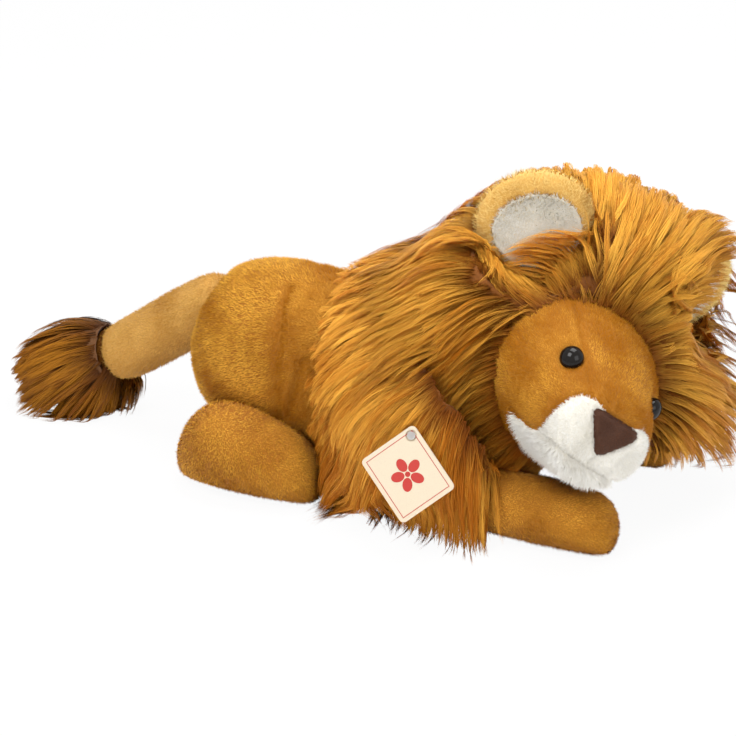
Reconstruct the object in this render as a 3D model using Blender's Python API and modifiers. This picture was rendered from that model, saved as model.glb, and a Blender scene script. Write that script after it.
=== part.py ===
# Lying plush lion, about 45 cm from tail tuft to paws.
# Metres, +Z up. The lion looks along +X, its left side is +Y, and the origin is
# the middle of the flat patch of belly that it rests on.
import math

import bpy
import bmesh
from mathutils import Matrix, Vector
from mathutils.bvhtree import BVHTree

MM = 0.001
DEG = math.pi / 180

# Cloth and gaps
pile_cloth = 3.0 * MM          # short plush with its backing, pile laid flat
seam_gap = 0.3 * MM            # between pieces that touch
press = 0.6 * MM               # how far a soft underside reaches before it is cut flat
overrun = 12 * MM              # how far every cutter runs past what it cuts
turn_slack = 1.1 * MM          # extra room where a form sweeps past another

# Body bag: its stations run from the rump to the chest
body_length = 240 * MM
body_rear = -178 * MM
body_height = 128 * MM
body_width = 118 * MM
# share of length, share of height up to the middle, share of width, share of height
body_station_shares = (
    (0.00, 0.55, 0.36, 0.34),
    (0.06, 0.53, 0.84, 0.78),
    (0.19, 0.51, 1.00, 0.97),
    (0.31, 0.49, 1.02, 1.00),
    (0.45, 0.46, 0.98, 0.94),
    (0.60, 0.435, 0.95, 0.89),
    (0.75, 0.415, 0.90, 0.85),
    (0.88, 0.36, 0.80, 0.72),
    (0.97, 0.27, 0.60, 0.50),
    (1.00, 0.24, 0.30, 0.26),
)

# Front legs, straight ahead with the paws a little apart
front_leg_length = 148 * MM
front_leg_width = 49 * MM
front_leg_height = 41 * MM
front_leg_start = -19 * MM
front_leg_apart = 61 * MM      # from the middle of the body to the leg's own middle
front_leg_aside = 6 * MM        # how far both lie over to the right side
front_leg_splay = 0.5 * DEG
front_leg_inset = 17 * MM       # how far the shoulder end bends in to the body
front_leg_bend_share = 0.5
front_leg_swing = 14 * DEG
front_station_shares = (
    (0.00, 0.44, 0.46),
    (0.07, 0.84, 0.90),
    (0.34, 0.99, 1.02),
    (0.66, 0.96, 0.98),
    (0.87, 0.98, 0.98),
    (0.97, 0.78, 0.80),
    (1.00, 0.40, 0.42),
)

# Hind legs, folded pads beside the rump
hind_leg_length = 102 * MM
hind_leg_width = 60 * MM
hind_leg_height = 58 * MM
hind_leg_start = -164 * MM
hind_leg_apart = 68 * MM
hind_leg_splay = 3 * DEG
hind_leg_swing = 12 * DEG
hind_station_shares = (
    (0.00, 0.34, 0.42),
    (0.10, 0.72, 0.86),
    (0.34, 1.03, 1.06),
    (0.70, 0.95, 0.84),
    (0.92, 0.66, 0.60),
    (1.00, 0.28, 0.28),
)

# Tail: a ball-shaped root in a dimple of the rump, a tube, and a tuft sleeve
tail_root_x = -166 * MM
tail_root_z = 93 * MM
tail_radius = 20.5 * MM
tail_length = 99 * MM
tail_drop = 34 * DEG
tail_swing = 15 * DEG
tail_flare_up_share = 0.4      # how much the tail's room also opens up and down
tail_root_slack = 1.8 * MM      # least room beside the swinging root
tail_root_rise = 0.3 * MM       # least room over and under it
tuft_length = 74 * MM
tuft_radius = 29 * MM
tuft_overlap = 9 * MM          # how far the tuft's sleeve covers the tube's end
tuft_lift = 14 * DEG           # how much flatter than the tube the tuft lies
tail_station_shares = (
    (-0.14, 0.55),
    (-0.06, 0.92),
    (0.00, 0.97),
    (0.10, 1.02),
    (0.45, 1.00),
    (0.80, 0.98),
    (0.97, 0.90),
    (1.00, 0.45),
)
tuft_station_shares = (
    (0.00, 0.78),
    (0.04, 0.88),
    (0.30, 1.00),
    (0.55, 0.88),
    (0.80, 0.55),
    (0.97, 0.24),
    (1.00, 0.12),
)

# Head: its own frame looks along its nose, and it is cocked to one side
head_x = 77 * MM
head_y = -16 * MM
head_z = 92 * MM
head_yaw = -50 * DEG
head_roll = -38 * DEG
head_turn = 8 * DEG
head_width = 116 * MM
skull_depth = 56 * MM          # from the middle of the head to its back
muzzle_reach = 82 * MM         # from the middle of the head to its front
# share of the reach or depth, middle's share of width, width share, height share
head_back_shares = ((-1.00, 0.02, 0.40, 0.40), (-0.86, 0.02, 0.70, 0.70), (-0.45, 0.01, 0.96, 0.94))
head_front_shares = (
    (0.04, 0.00, 1.02, 1.00),
    (0.36, -0.018, 0.93, 0.86),
    (0.62, -0.056, 0.74, 0.664),
    (0.84, -0.100, 0.64, 0.56),
    (0.97, -0.134, 0.54, 0.46),
    (1.00, -0.147, 0.36, 0.34),
)
neck_mouth_radius = 22 * MM

# Face panels, in the head's frame: forward from the middle, and up from it
muzzle_apex = (72 * MM, 5 * MM)
muzzle_front = (88 * MM, -5 * MM)
muzzle_back = (58 * MM, -27 * MM)
chin_back = (36 * MM, -34 * MM)
chin_line = -31 * MM
panel_split = 0.2 * MM
nose_half_width = 19 * MM
nose_top = 1 * MM
nose_drop = 24 * MM
nose_crown = 1.8 * MM           # how far the nose's top edge bows up
nose_brow_share = 0.6
nose_back = 50 * MM

# Eyes
eye_radius = 7 * MM
eye_dome_share = 0.62
eye_aim = Vector((0.60, 0.70, 0.20))
eye_from = Vector((18 * MM, 4 * MM, 4 * MM))
stem_radius = 1.6 * MM
stem_reach = 8.2 * MM
washer_radius = 7 * MM
washer_thick = 1.2 * MM
washer_depth = 2.4 * MM        # behind the inner face of the cloth

# Ears
ear_width = 76 * MM
ear_height = 70 * MM
ear_thick = 17 * MM
ear_out = 94 * MM              # from the middle of the head to the ear's own middle
ear_lean = 47 * DEG            # from straight up towards its side
ear_lean_left = 27 * DEG       # the left one is brushed up under the mane
ear_back = 18 * MM
ear_turn = 20 * DEG            # how far its face looks out to its side
ear_rim = 9.5 * MM
ear_dish = 5 * MM              # half depth of the hollow in the ear's face
ear_fold = 22 * DEG
lining_thick = 2 * MM

# Mane
hood_radius = 106 * MM         # across, to either side
hood_rise = 104 * MM           # up and down
hood_depth = 80 * MM
hood_back = 23 * MM
hood_aside = 7 * MM           # brushed towards the far side
hood_up = 6 * MM
hood_hem = 47 * MM             # height of the hood's lower edge
hood_notch_gap = 1.2 * MM
hood_tuck_side = 62 * MM      # where the hem starts to rise towards the head's left
hood_tuck_rise = 48 * DEG
hood_front = 22 * MM           # how far forward the hood reaches over the brow
hood_front_turn = 14 * DEG     # brushed forward on the far side, back on the near one
cape_length = 150 * MM
cape_rear = -80 * MM
cape_width = 192 * MM
cape_height = 158 * MM
cape_hem = 48 * MM             # clears the front legs where they swing
cape_hem_front = -22 * MM
cape_station_shares = (
    (0.00, 0.39, 0.56, 0.66),
    (0.05, 0.40, 0.64, 0.78),
    (0.26, 0.44, 0.84, 0.94),
    (0.50, 0.47, 0.98, 1.00),
    (0.76, 0.46, 1.02, 0.98),
    (0.94, 0.42, 0.84, 0.80),
    (1.00, 0.40, 0.60, 0.60),
)

# Card tag, hung by one corner
tag_width = 40 * MM
tag_height = 46 * MM
leaf_thick = 0.6 * MM
leaf_gap = 0.35 * MM
tag_corner = 3 * MM             # radius of the card's corners
tag_hole_inset = 5 * MM
tag_hole_radius = 1.6 * MM
cover_hole_radius = 3.6 * MM   # the cover opens past the pin's head
tag_lean = 24 * DEG            # how far the card faces up
tag_face_yaw = -84 * DEG
tag_x = 8 * MM
tag_z = 74 * MM                # height of the card's top corner
tag_stand_off = 1.0 * MM
tag_swing = 25 * DEG
tag_open = 100 * DEG
pin_radius = 0.9 * MM
pin_head_radius = 2.6 * MM
pin_head_thick = 0.8 * MM

ROUND_SIDES = 12
LINING_SIDES = 6
LIMB_SIDES = 8
HOOD_SIDES = 26
HOOD_RINGS = 14


def clear_scene():
    for item in list(bpy.data.objects):
        bpy.data.objects.remove(item)


def new_collection(name):
    collection = bpy.data.collections.new(name)
    bpy.context.scene.collection.children.link(collection)
    return collection


clear_scene()
PARTS = new_collection("plush_lion")
CUTTERS = new_collection("cutters")


def material(name, colour, roughness, sheen=0.0):
    made = bpy.data.materials.new(name)
    made.use_nodes = True
    shader = made.node_tree.nodes["Principled BSDF"]
    shader.inputs["Base Color"].default_value = (*colour, 1.0)
    shader.inputs["Roughness"].default_value = roughness
    shader.inputs["Sheen Weight"].default_value = sheen
    made.diffuse_color = (*colour, 1.0)
    return made


def link_mesh(name, shape, collection, look=None):
    mesh = bpy.data.meshes.new(name)
    shape.to_mesh(mesh)
    shape.free()
    made = bpy.data.objects.new(name, mesh)
    collection.objects.link(made)
    if collection is CUTTERS:
        made.hide_render = True
        made.display_type = "WIRE"
    if look:
        mesh.materials.append(look)
    return made


def set_place(piece, matrix, axis=None):
    """Place a piece in the world, as a child of its joint's empty."""
    if axis:
        piece.parent = axis
        piece.matrix_basis = Matrix.Translation(-axis.location) @ matrix
    else:
        piece.matrix_basis = matrix


def joint_axis(name, point, low, high):
    """An empty on a joint's axis, with the joint's range from rest."""
    axis = bpy.data.objects.new(name, None)
    axis["turns_from"] = low
    axis["turns_to"] = high
    PARTS.objects.link(axis)
    axis.location = point
    axis.empty_display_size = pile_cloth
    return axis


def ring_share(sides):
    """How much a ring of a subdivided cage draws in from its corners."""
    return (2 + math.cos(2 * math.pi / sides)) / 3


def stuffed_cage(stations, sides):
    """A closed cage of rings; a station is (along, aside, rise, half width, half height)."""
    shape = bmesh.new()
    rings = []
    spread = 1 / ring_share(sides)
    for along, aside, rise, half_width, half_height in stations:
        ring = []
        for step in range(sides):
            turn = 2 * math.pi * step / sides - math.pi / 2
            ring.append(shape.verts.new((
                along,
                aside + spread * half_width * math.cos(turn),
                rise + spread * half_height * math.sin(turn))))
        rings.append(ring)
    for near, far in zip(rings, rings[1:]):
        for step in range(sides):
            after = (step + 1) % sides
            shape.faces.new((near[step], near[after], far[after], far[step]))
    shape.faces.new(list(reversed(rings[0])))
    shape.faces.new(rings[-1])
    bmesh.ops.recalc_face_normals(shape, faces=shape.faces)
    return shape


def grown(stations, by):
    """The same form, larger or smaller by a wall: thinner rings, ends drawn in."""
    middle = (stations[0][0] + stations[-1][0]) / 2
    made = []
    for along, aside, rise, half_width, half_height in stations:
        push = by if along > middle else -by
        at_end = along in (stations[0][0], stations[-1][0])
        near_end = along in (stations[1][0], stations[-2][0])
        shift = push if at_end or near_end else 0.0
        made.append((along + shift, aside, rise, half_width + by, half_height + by))
    return made


def stuffed(name, stations, matrix, collection, look=None, by=0.0, sides=ROUND_SIDES, axis=None):
    """A swelling, tapering form from a coarse cage and one subdivision."""
    made = link_mesh(name, stuffed_cage(grown(stations, by), sides), collection, look)
    smooth = made.modifiers.new("swell", "SUBSURF")
    smooth.levels = 1
    smooth.render_levels = 1
    made.data.shade_smooth()
    set_place(made, matrix, axis)
    return made


def ball(name, radii, matrix, collection, look=None, axis=None, across=24, up=12):
    shape = bmesh.new()
    bmesh.ops.create_uvsphere(shape, u_segments=across, v_segments=up, radius=1.0)
    bmesh.ops.scale(shape, vec=radii, verts=shape.verts)
    made = link_mesh(name, shape, collection, look)
    made.data.shade_smooth()
    set_place(made, matrix, axis)
    return made


def drum(name, radius, depth, matrix, collection, look=None, axis=None, sides=16):
    """A plain cylinder along its own Z."""
    shape = bmesh.new()
    bmesh.ops.create_cone(shape, cap_ends=True, segments=sides, radius1=radius, radius2=radius, depth=depth)
    made = link_mesh(name, shape, collection, look)
    made.data.shade_smooth()
    made.data.set_sharp_from_angle(angle=40 * DEG)
    set_place(made, matrix, axis)
    return made


def box(name, low, high, matrix, collection):
    shape = bmesh.new()
    bmesh.ops.create_cube(shape, size=1.0)
    low = Vector(low)
    high = Vector(high)
    bmesh.ops.scale(shape, vec=high - low, verts=shape.verts)
    bmesh.ops.translate(shape, vec=(high + low) / 2, verts=shape.verts)
    made = link_mesh(name, shape, collection)
    set_place(made, matrix)
    return made


def prism(name, outline, low, high, matrix, along="Y"):
    """An outline drawn in (X, Z) and run along Y, or drawn in (Y, Z) and run along X."""
    shape = bmesh.new()
    corners = []
    for across, rise in outline:
        point = (across, low, rise) if along == "Y" else (low, across, rise)
        corners.append(shape.verts.new(point))
    face = shape.faces.new(corners)
    run = Vector((0, high - low, 0)) if along == "Y" else Vector((high - low, 0, 0))
    grown_face = bmesh.ops.extrude_face_region(shape, geom=[face])
    moved = [item for item in grown_face["geom"] if isinstance(item, bmesh.types.BMVert)]
    bmesh.ops.translate(shape, vec=run, verts=moved)
    bmesh.ops.recalc_face_normals(shape, faces=shape.faces)
    made = link_mesh(name, shape, CUTTERS)
    set_place(made, matrix)
    return made


def combine(target, other, operation):
    step = target.modifiers.new(operation.lower() + "_" + other.name, "BOOLEAN")
    step.operation = operation
    step.object = other
    step.solver = "EXACT"


def cut(target, *others):
    for other in others:
        combine(target, other, "DIFFERENCE")


def keep_inside(target, other):
    combine(target, other, "INTERSECT")


def finished_points(piece):
    """World positions of a piece's corners, after its modifiers."""
    graph = bpy.context.evaluated_depsgraph_get()
    ready = piece.evaluated_get(graph)
    return [piece.matrix_world @ corner.co for corner in ready.data.vertices]


# Looks
GOLD = material("gold_plush", (0.50, 0.235, 0.06), 0.9, 0.5)
MANE = material("mane_pile", (0.42, 0.17, 0.035), 0.8, 0.4)
TUFT = material("tuft_pile", (0.16, 0.06, 0.02), 0.8, 0.4)
WHITE = material("white_plush", (0.86, 0.84, 0.78), 0.9, 0.5)
NOSE = material("nose_plush", (0.09, 0.035, 0.025), 0.85, 0.4)
BLACK = material("black_plastic", (0.01, 0.01, 0.01), 0.12)
STUFFING = material("stuffing", (0.88, 0.88, 0.85), 1.0)
CARD = material("cream_card", (0.85, 0.78, 0.66), 0.6)
CLEAR = material("pin_plastic", (0.8, 0.8, 0.8), 0.4)
WASHER = material("washer_plastic", (0.75, 0.75, 0.72), 0.5)

HERE = Matrix.Identity(4)
ALONG_X = Matrix.Rotation(math.pi / 2, 4, "Y")
far_out = overrun * 40
FLOOR = box("floor_cut", (-far_out, -far_out, -overrun * 8), (far_out, far_out, 0), HERE, CUTTERS)


def body_stations():
    made = []
    for along, middle, width, height in body_station_shares:
        half_height = height * body_height / 2
        rise = max(middle * body_height, half_height - press)
        made.append((body_rear + along * body_length, 0.0, rise, width * body_width / 2, half_height))
    return made


def head_stations():
    made = []
    for shares, reach in ((head_back_shares, skull_depth), (head_front_shares, muzzle_reach)):
        for along, middle, width, height in shares:
            made.append((along * reach, 0.0, middle * head_width,
                         width * head_width / 2, height * head_width / 2))
    return made


def limb_stations(shares, length, width, height, inset):
    made = []
    for along, wide, high in shares:
        half_height = high * height / 2
        aside = inset * max(0.0, 1 - along / front_leg_bend_share)
        made.append((along * length, aside, half_height - press * high, wide * width / 2, half_height))
    return made


HEAD = (Matrix.Translation((head_x, head_y, head_z))
        @ Matrix.Rotation(head_yaw, 4, "Z") @ Matrix.Rotation(head_roll, 4, "X"))
HEAD_AXIS = joint_axis("head_turn_axis", (head_x, head_y, head_z), -head_turn, head_turn)


def turned(point, angle):
    """A turn about the upright line through a point."""
    return Matrix.Translation(point) @ Matrix.Rotation(angle, 4, "Z") @ Matrix.Translation(-point)


def hood_frame():
    return HEAD @ Matrix.Translation((-hood_back, hood_aside, hood_up))


def hood_room():
    """The hood's room among the other pieces, at its middle and both ends of its turn."""
    slack = seam_gap + turn_slack
    radii = (hood_depth + slack, hood_radius + slack, hood_rise + slack)
    room = []
    for name, angle in (("middle", 0.0), ("left", head_turn), ("right", -head_turn)):
        place = turned(HEAD_AXIS.location, angle) @ hood_frame()
        room.append(ball("hood_room_" + name, radii, place, CUTTERS, across=HOOD_SIDES, up=HOOD_RINGS))
    combine(room[0], room[1], "UNION")
    combine(room[0], room[2], "UNION")
    cut(room[0], box("hood_under", (-far_out, -far_out, -overrun * 8),
                     (far_out, far_out, hood_hem - seam_gap), HERE, CUTTERS))
    return room[0]


def tail_frame():
    root = Matrix.Translation((tail_root_x, 0, tail_root_z))
    return root @ Matrix.Rotation(math.pi, 4, "Z") @ Matrix.Rotation(tail_drop, 4, "Y")


def tail_stations():
    made = []
    for along, wide in tail_station_shares:
        made.append((along * tail_length, 0.0, 0.0, wide * tail_radius, wide * tail_radius))
    return made


def tail_room():
    """The tail's room in the rump: the tube's form, flared and deepened by its swing."""
    stations = []
    for along, aside, rise, half_width, half_height in grown(tail_stations(), seam_gap):
        flare = abs(along) * math.tan(tail_swing)
        deeper = half_width * math.sin(tail_swing) if along < 0 else 0.0
        stations.append((along - deeper, aside, rise, half_width + max(flare, tail_root_slack),
                         half_height + max(flare * tail_flare_up_share, tail_root_rise)))
    return stuffed("tail_room", stations, tail_frame(), CUTTERS, sides=LIMB_SIDES)


def make_torso(room):
    """Body bag, open where the head's mane and the tail's root sit in it, and its stuffing."""
    stations = body_stations()
    skin = stuffed("torso_skin", stations, HERE, PARTS, GOLD)
    lining = stuffed("torso_lining", stations, HERE, CUTTERS, by=-pile_cloth, sides=LINING_SIDES)
    filling = stuffed("torso_filling", stations, HERE, PARTS, STUFFING, -pile_cloth - seam_gap, LINING_SIDES)
    bed = ball("head_bed", [head_width / 2 + seam_gap + turn_slack + pile_cloth] * 3,
               Matrix.Translation(HEAD_AXIS.location), CUTTERS)
    cut(skin, FLOOR, lining)
    dimple = tail_room()
    for piece in (skin, filling):
        cut(piece, room, bed, dimple)
    outside = stuffed("torso_outside", stations, HERE, CUTTERS, by=seam_gap)
    return skin, filling, outside, bed


def make_leg(end, side, shares, length, width, height, start, apart, splay, inset, swing, outside):
    """One leg: a plush bag cut to the body's flank, its stuffing, and its swing axis."""
    hand = "right" if side < 0 else "left"
    name = end + "_leg_" + hand
    matrix = Matrix.Translation((start, side * apart, 0)) @ Matrix.Rotation(side * splay, 4, "Z")
    stations = limb_stations(shares, length, width, height, -side * inset)
    inner = apart - inset - shares[0][1] * width / 2
    axis = joint_axis(name + "_swing_axis", (start, side * inner, height / 2), 0.0, swing)
    skin = stuffed(name + "_skin", stations, matrix, PARTS, GOLD, axis=axis, sides=LIMB_SIDES)
    lining = stuffed(name + "_lining", stations, matrix, CUTTERS, by=-pile_cloth, sides=LINING_SIDES)
    filling = stuffed(name + "_filling", stations, matrix, PARTS, STUFFING,
                      -pile_cloth - seam_gap, LINING_SIDES, axis)
    cut(skin, FLOOR, lining, outside)
    cut(filling, outside)
    return axis


def make_tail():
    """Tail tube on a round root, its stuffing, and the long-haired tuft over its end."""
    axis = joint_axis("tail_swing_axis", (tail_root_x, 0, tail_root_z), -tail_swing, tail_swing)
    aim = tail_frame()
    stations = tail_stations()
    skin = stuffed("tail_skin", stations, aim, PARTS, GOLD, axis=axis, sides=LIMB_SIDES)
    lining = stuffed("tail_lining", stations, aim, CUTTERS, by=-pile_cloth, sides=LINING_SIDES)
    filling = stuffed("tail_filling", stations, aim, PARTS, STUFFING,
                      -pile_cloth - seam_gap, LINING_SIDES, axis)
    root = aim @ Matrix.Translation((stations[0][0], 0, 0))
    mouth = drum("tail_mouth", tail_radius / 2, overrun, root @ ALONG_X, CUTTERS)
    cut(skin, lining, mouth)
    over = stuffed("tail_outside", stations, aim, CUTTERS, by=seam_gap, sides=LIMB_SIDES)
    end = aim @ Matrix.Translation((tail_length - tuft_overlap, 0, 0))
    bend = end @ Matrix.Rotation(-tuft_lift, 4, "Y")
    tuft_stations = []
    for along, wide in tuft_station_shares:
        radius = wide * tuft_radius
        tuft_stations.append((along * tuft_length, 0.0, 0.0, radius, radius))
    tuft = stuffed("tail_tuft", tuft_stations, bend, PARTS, TUFT, axis=axis)
    cut(tuft, FLOOR, over)
    return axis


def make_head():
    """Head bag with its face panels, eyes and stuffing."""
    stations = head_stations()
    head_outer = dict(matrix=HEAD, collection=PARTS, axis=HEAD_AXIS)
    lining = stuffed("head_lining", stations, HEAD, CUTTERS, by=-pile_cloth, sides=LINING_SIDES)
    muzzle_outline = (muzzle_apex, muzzle_front, (muzzle_front[0] + overrun, muzzle_front[1]),
                      (muzzle_front[0] + overrun, chin_line), (muzzle_back[0], chin_line), muzzle_back)
    chin_outline = ((muzzle_front[0] + overrun, chin_line - seam_gap),
                    (muzzle_front[0] + overrun, -head_width), (chin_back[0], -head_width),
                    chin_back, (muzzle_back[0], chin_line - seam_gap))
    white_outline = (muzzle_apex, muzzle_front, (muzzle_front[0] + overrun, muzzle_front[1]),
                     (muzzle_front[0] + overrun, -head_width), (chin_back[0], -head_width),
                     chin_back, (muzzle_back[0], chin_line - seam_gap), muzzle_back)
    nose_brow = nose_half_width * nose_brow_share
    nose_outline = ((-nose_half_width, nose_top), (0.0, nose_top - nose_drop), (nose_half_width, nose_top),
                    (nose_brow, nose_top + nose_crown), (-nose_brow, nose_top + nose_crown))
    wide = head_width
    side_right = prism("muzzle_side_right", muzzle_outline, -wide, -panel_split, HEAD)
    side_left = prism("muzzle_side_left", muzzle_outline, panel_split, wide, HEAD)
    chin_part = prism("chin_part", chin_outline, -wide, wide, HEAD)
    grow = Matrix.Translation((-seam_gap, 0, seam_gap))
    white_part = prism("white_part", white_outline, -wide, wide, HEAD @ grow)
    nose_part = prism("nose_part", nose_outline, nose_back, muzzle_reach + overrun, HEAD, "X")
    loose = Matrix.Translation((-seam_gap, 0, 0)) @ Matrix.Diagonal((1.0, 1.03, 1.03, 1.0))
    nose_room = prism("nose_room", nose_outline, nose_back - seam_gap, muzzle_reach + 2 * overrun,
                      HEAD @ loose, "X")
    pieces = {}
    for name, look in (("head_skin", GOLD), ("muzzle_right", WHITE), ("muzzle_left", WHITE),
                       ("chin", WHITE), ("nose_patch", NOSE)):
        pieces[name] = stuffed(name, stations, look=look, **head_outer)
        cut(pieces[name], lining)
    for name, part in (("muzzle_right", side_right), ("muzzle_left", side_left),
                       ("chin", chin_part), ("nose_patch", nose_part)):
        keep_inside(pieces[name], part)
    for name in ("head_skin", "muzzle_right", "muzzle_left", "chin"):
        cut(pieces[name], nose_room)
    mouth = drum("neck_mouth", neck_mouth_radius, skull_depth,
                 HEAD @ Matrix.Translation((-skull_depth, 0, 0)) @ ALONG_X, CUTTERS)
    cut(pieces["head_skin"], white_part, mouth)
    filling = stuffed("head_filling", stations, HEAD, PARTS, STUFFING, -pile_cloth - seam_gap,
                      LINING_SIDES, HEAD_AXIS)
    outside = stuffed("head_outside", stations, HEAD, CUTTERS, by=seam_gap)
    return pieces, filling, outside


def surface_hit(piece, start, aim):
    """Where a line from inside meets a form, with the form's slope there."""
    graph = bpy.context.evaluated_depsgraph_get()
    tree = BVHTree.FromObject(piece, graph)
    point, normal, _, _ = tree.ray_cast(start, aim)
    return point, normal


def make_eye(side, head_skin, filling, outside):
    """Domed eye with its stem through the cloth, and the washer that locks it."""
    hand = "right" if side < 0 else "left"
    start = Vector((eye_from.x, -side * eye_from.y, eye_from.z))
    aim = Vector((eye_aim.x, side * eye_aim.y, eye_aim.z)).normalized()
    point, normal = surface_hit(outside, start, aim)
    turn = normal.to_track_quat("Z", "Y").to_matrix().to_4x4()
    seat = HEAD @ Matrix.Translation(point) @ turn
    dome = ball("eye_" + hand, (eye_radius, eye_radius, eye_radius * eye_dome_share), seat, PARTS,
                BLACK, HEAD_AXIS, across=16, up=10)
    under = box("eye_flat_" + hand, (-2 * eye_radius, -2 * eye_radius, -2 * eye_radius),
                (2 * eye_radius, 2 * eye_radius, 0), seat, CUTTERS)
    inward = eye_radius * eye_dome_share / 2 - stem_reach / 2
    stem = drum("eye_stem_" + hand, stem_radius, stem_reach,
                seat @ Matrix.Translation((0, 0, inward)), CUTTERS, sides=10)
    cut(dome, under)
    combine(dome, stem, "UNION")
    hole = drum("eye_hole_" + hand, stem_radius + seam_gap, stem_reach * 2, seat, CUTTERS, sides=10)
    cut(head_skin, hole)
    depth = pile_cloth + seam_gap + washer_depth
    washer = drum("eye_washer_" + hand, washer_radius, washer_thick,
                  seat @ Matrix.Translation((0, 0, -depth)), PARTS, WASHER, HEAD_AXIS)
    cut(washer, hole)
    pocket = drum("washer_pocket_" + hand, washer_radius + seam_gap, depth * 2, seat @ Matrix.Translation(
        (0, 0, -depth - seam_gap)), CUTTERS)
    cut(filling, pocket)


def ear_frame(side):
    """The ear's own frame: X out of its face, Y along its base, Z to its tip."""
    lean = ear_lean if side < 0 else ear_lean_left
    out = Matrix.Rotation(-side * lean, 4, "X")
    return HEAD @ out @ Matrix.Translation((-ear_back, 0, ear_out)) @ Matrix.Rotation(side * ear_turn, 4, "Z")


def make_ear(side, outside, hood):
    """Ear pad with a dish in its face, the lining in the dish, and the way it folds into the mane."""
    hand = "right" if side < 0 else "left"
    place = ear_frame(side)
    base = head_width / 2 - ear_out
    root = (place @ Matrix.Translation((ear_thick / 2, 0, base))).translation
    axis = joint_axis("ear_" + hand + "_fold_axis", root, 0.0, ear_fold)
    radii = (ear_thick / 2, ear_width / 2, ear_height / 2)
    pad = ball("ear_" + hand, radii, place, PARTS, GOLD, axis, 20, 12)
    lining_radii = (ear_dish, ear_width / 2 - ear_rim, ear_height / 2 - ear_rim)
    forward = Matrix.Translation((ear_thick / 3, 0, -ear_rim / 3))
    dish = ball("ear_dish_" + hand, lining_radii, place @ forward, CUTTERS, across=20, up=12)
    fit = [size - seam_gap for size in lining_radii]
    lining = ball("ear_lining_" + hand, fit, place @ forward, PARTS, WHITE, axis, 20, 12)
    lens = ball("ear_lens_" + hand, lining_radii, place @ forward @ Matrix.Translation((lining_thick, 0, 0)),
                CUTTERS, across=20, up=12)
    rim = ball("ear_rim_" + hand, radii, place, CUTTERS, across=20, up=12)
    cut(pad, dish, outside)
    cut(lining, lens, outside)
    keep_inside(lining, rim)
    room = [radius + hood_notch_gap for radius in radii]
    cut(hood, ball("ear_room_" + hand, room, place, CUTTERS, across=20, up=12))
    ahead = place @ Matrix.Translation((hood_radius / 2, 0, 0))
    stretch = Matrix.Diagonal((hood_radius, room[1], room[2], 1))
    cut(hood, drum("ear_way_" + hand, 1.0, 1.0, ahead @ stretch @ ALONG_X, CUTTERS, sides=40))
    return axis


def make_mane(room, head_outside, torso_outside, bed):
    """Hood of long pile round the face, and the cape of it over neck and shoulders."""
    hood = ball("mane_hood", (hood_depth, hood_radius, hood_rise), hood_frame(),
                PARTS, MANE, HEAD_AXIS, HOOD_SIDES, HOOD_RINGS)
    below = box("hood_hem_cut", (-far_out, -far_out, -overrun * 8),
                (far_out, far_out, hood_hem), HERE, CUTTERS)
    wide = 2 * hood_radius
    ahead = box("mane_front_cut", (hood_front, -wide, -wide), (wide, wide, wide),
                HEAD @ Matrix.Rotation(-hood_front_turn, 4, "Z"), CUTTERS)
    level = Matrix.Translation((head_x, head_y, hood_hem)) @ Matrix.Rotation(head_yaw, 4, "Z")
    rising = level @ Matrix.Translation((0, hood_tuck_side, 0)) @ Matrix.Rotation(hood_tuck_rise, 4, "X")
    tuck = box("hood_tuck_cut", (-wide, 0, -wide), (wide, wide, 0), rising, CUTTERS)
    cut(hood, head_outside, below, tuck, ahead)
    stations = []
    for along, middle, width, height in cape_station_shares:
        stations.append((cape_rear + along * cape_length, 0.0, middle * cape_height,
                         width * cape_width / 2, height * cape_height / 2))
    cape = stuffed("mane_cape", stations, HERE, PARTS, MANE)
    legs = box("cape_leg_room", (cape_hem_front, -cape_width, -overrun),
               (body_length, cape_width, cape_hem), HERE, CUTTERS)
    cut(cape, FLOOR, torso_outside, room, bed, legs)
    return hood, cape


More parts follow.
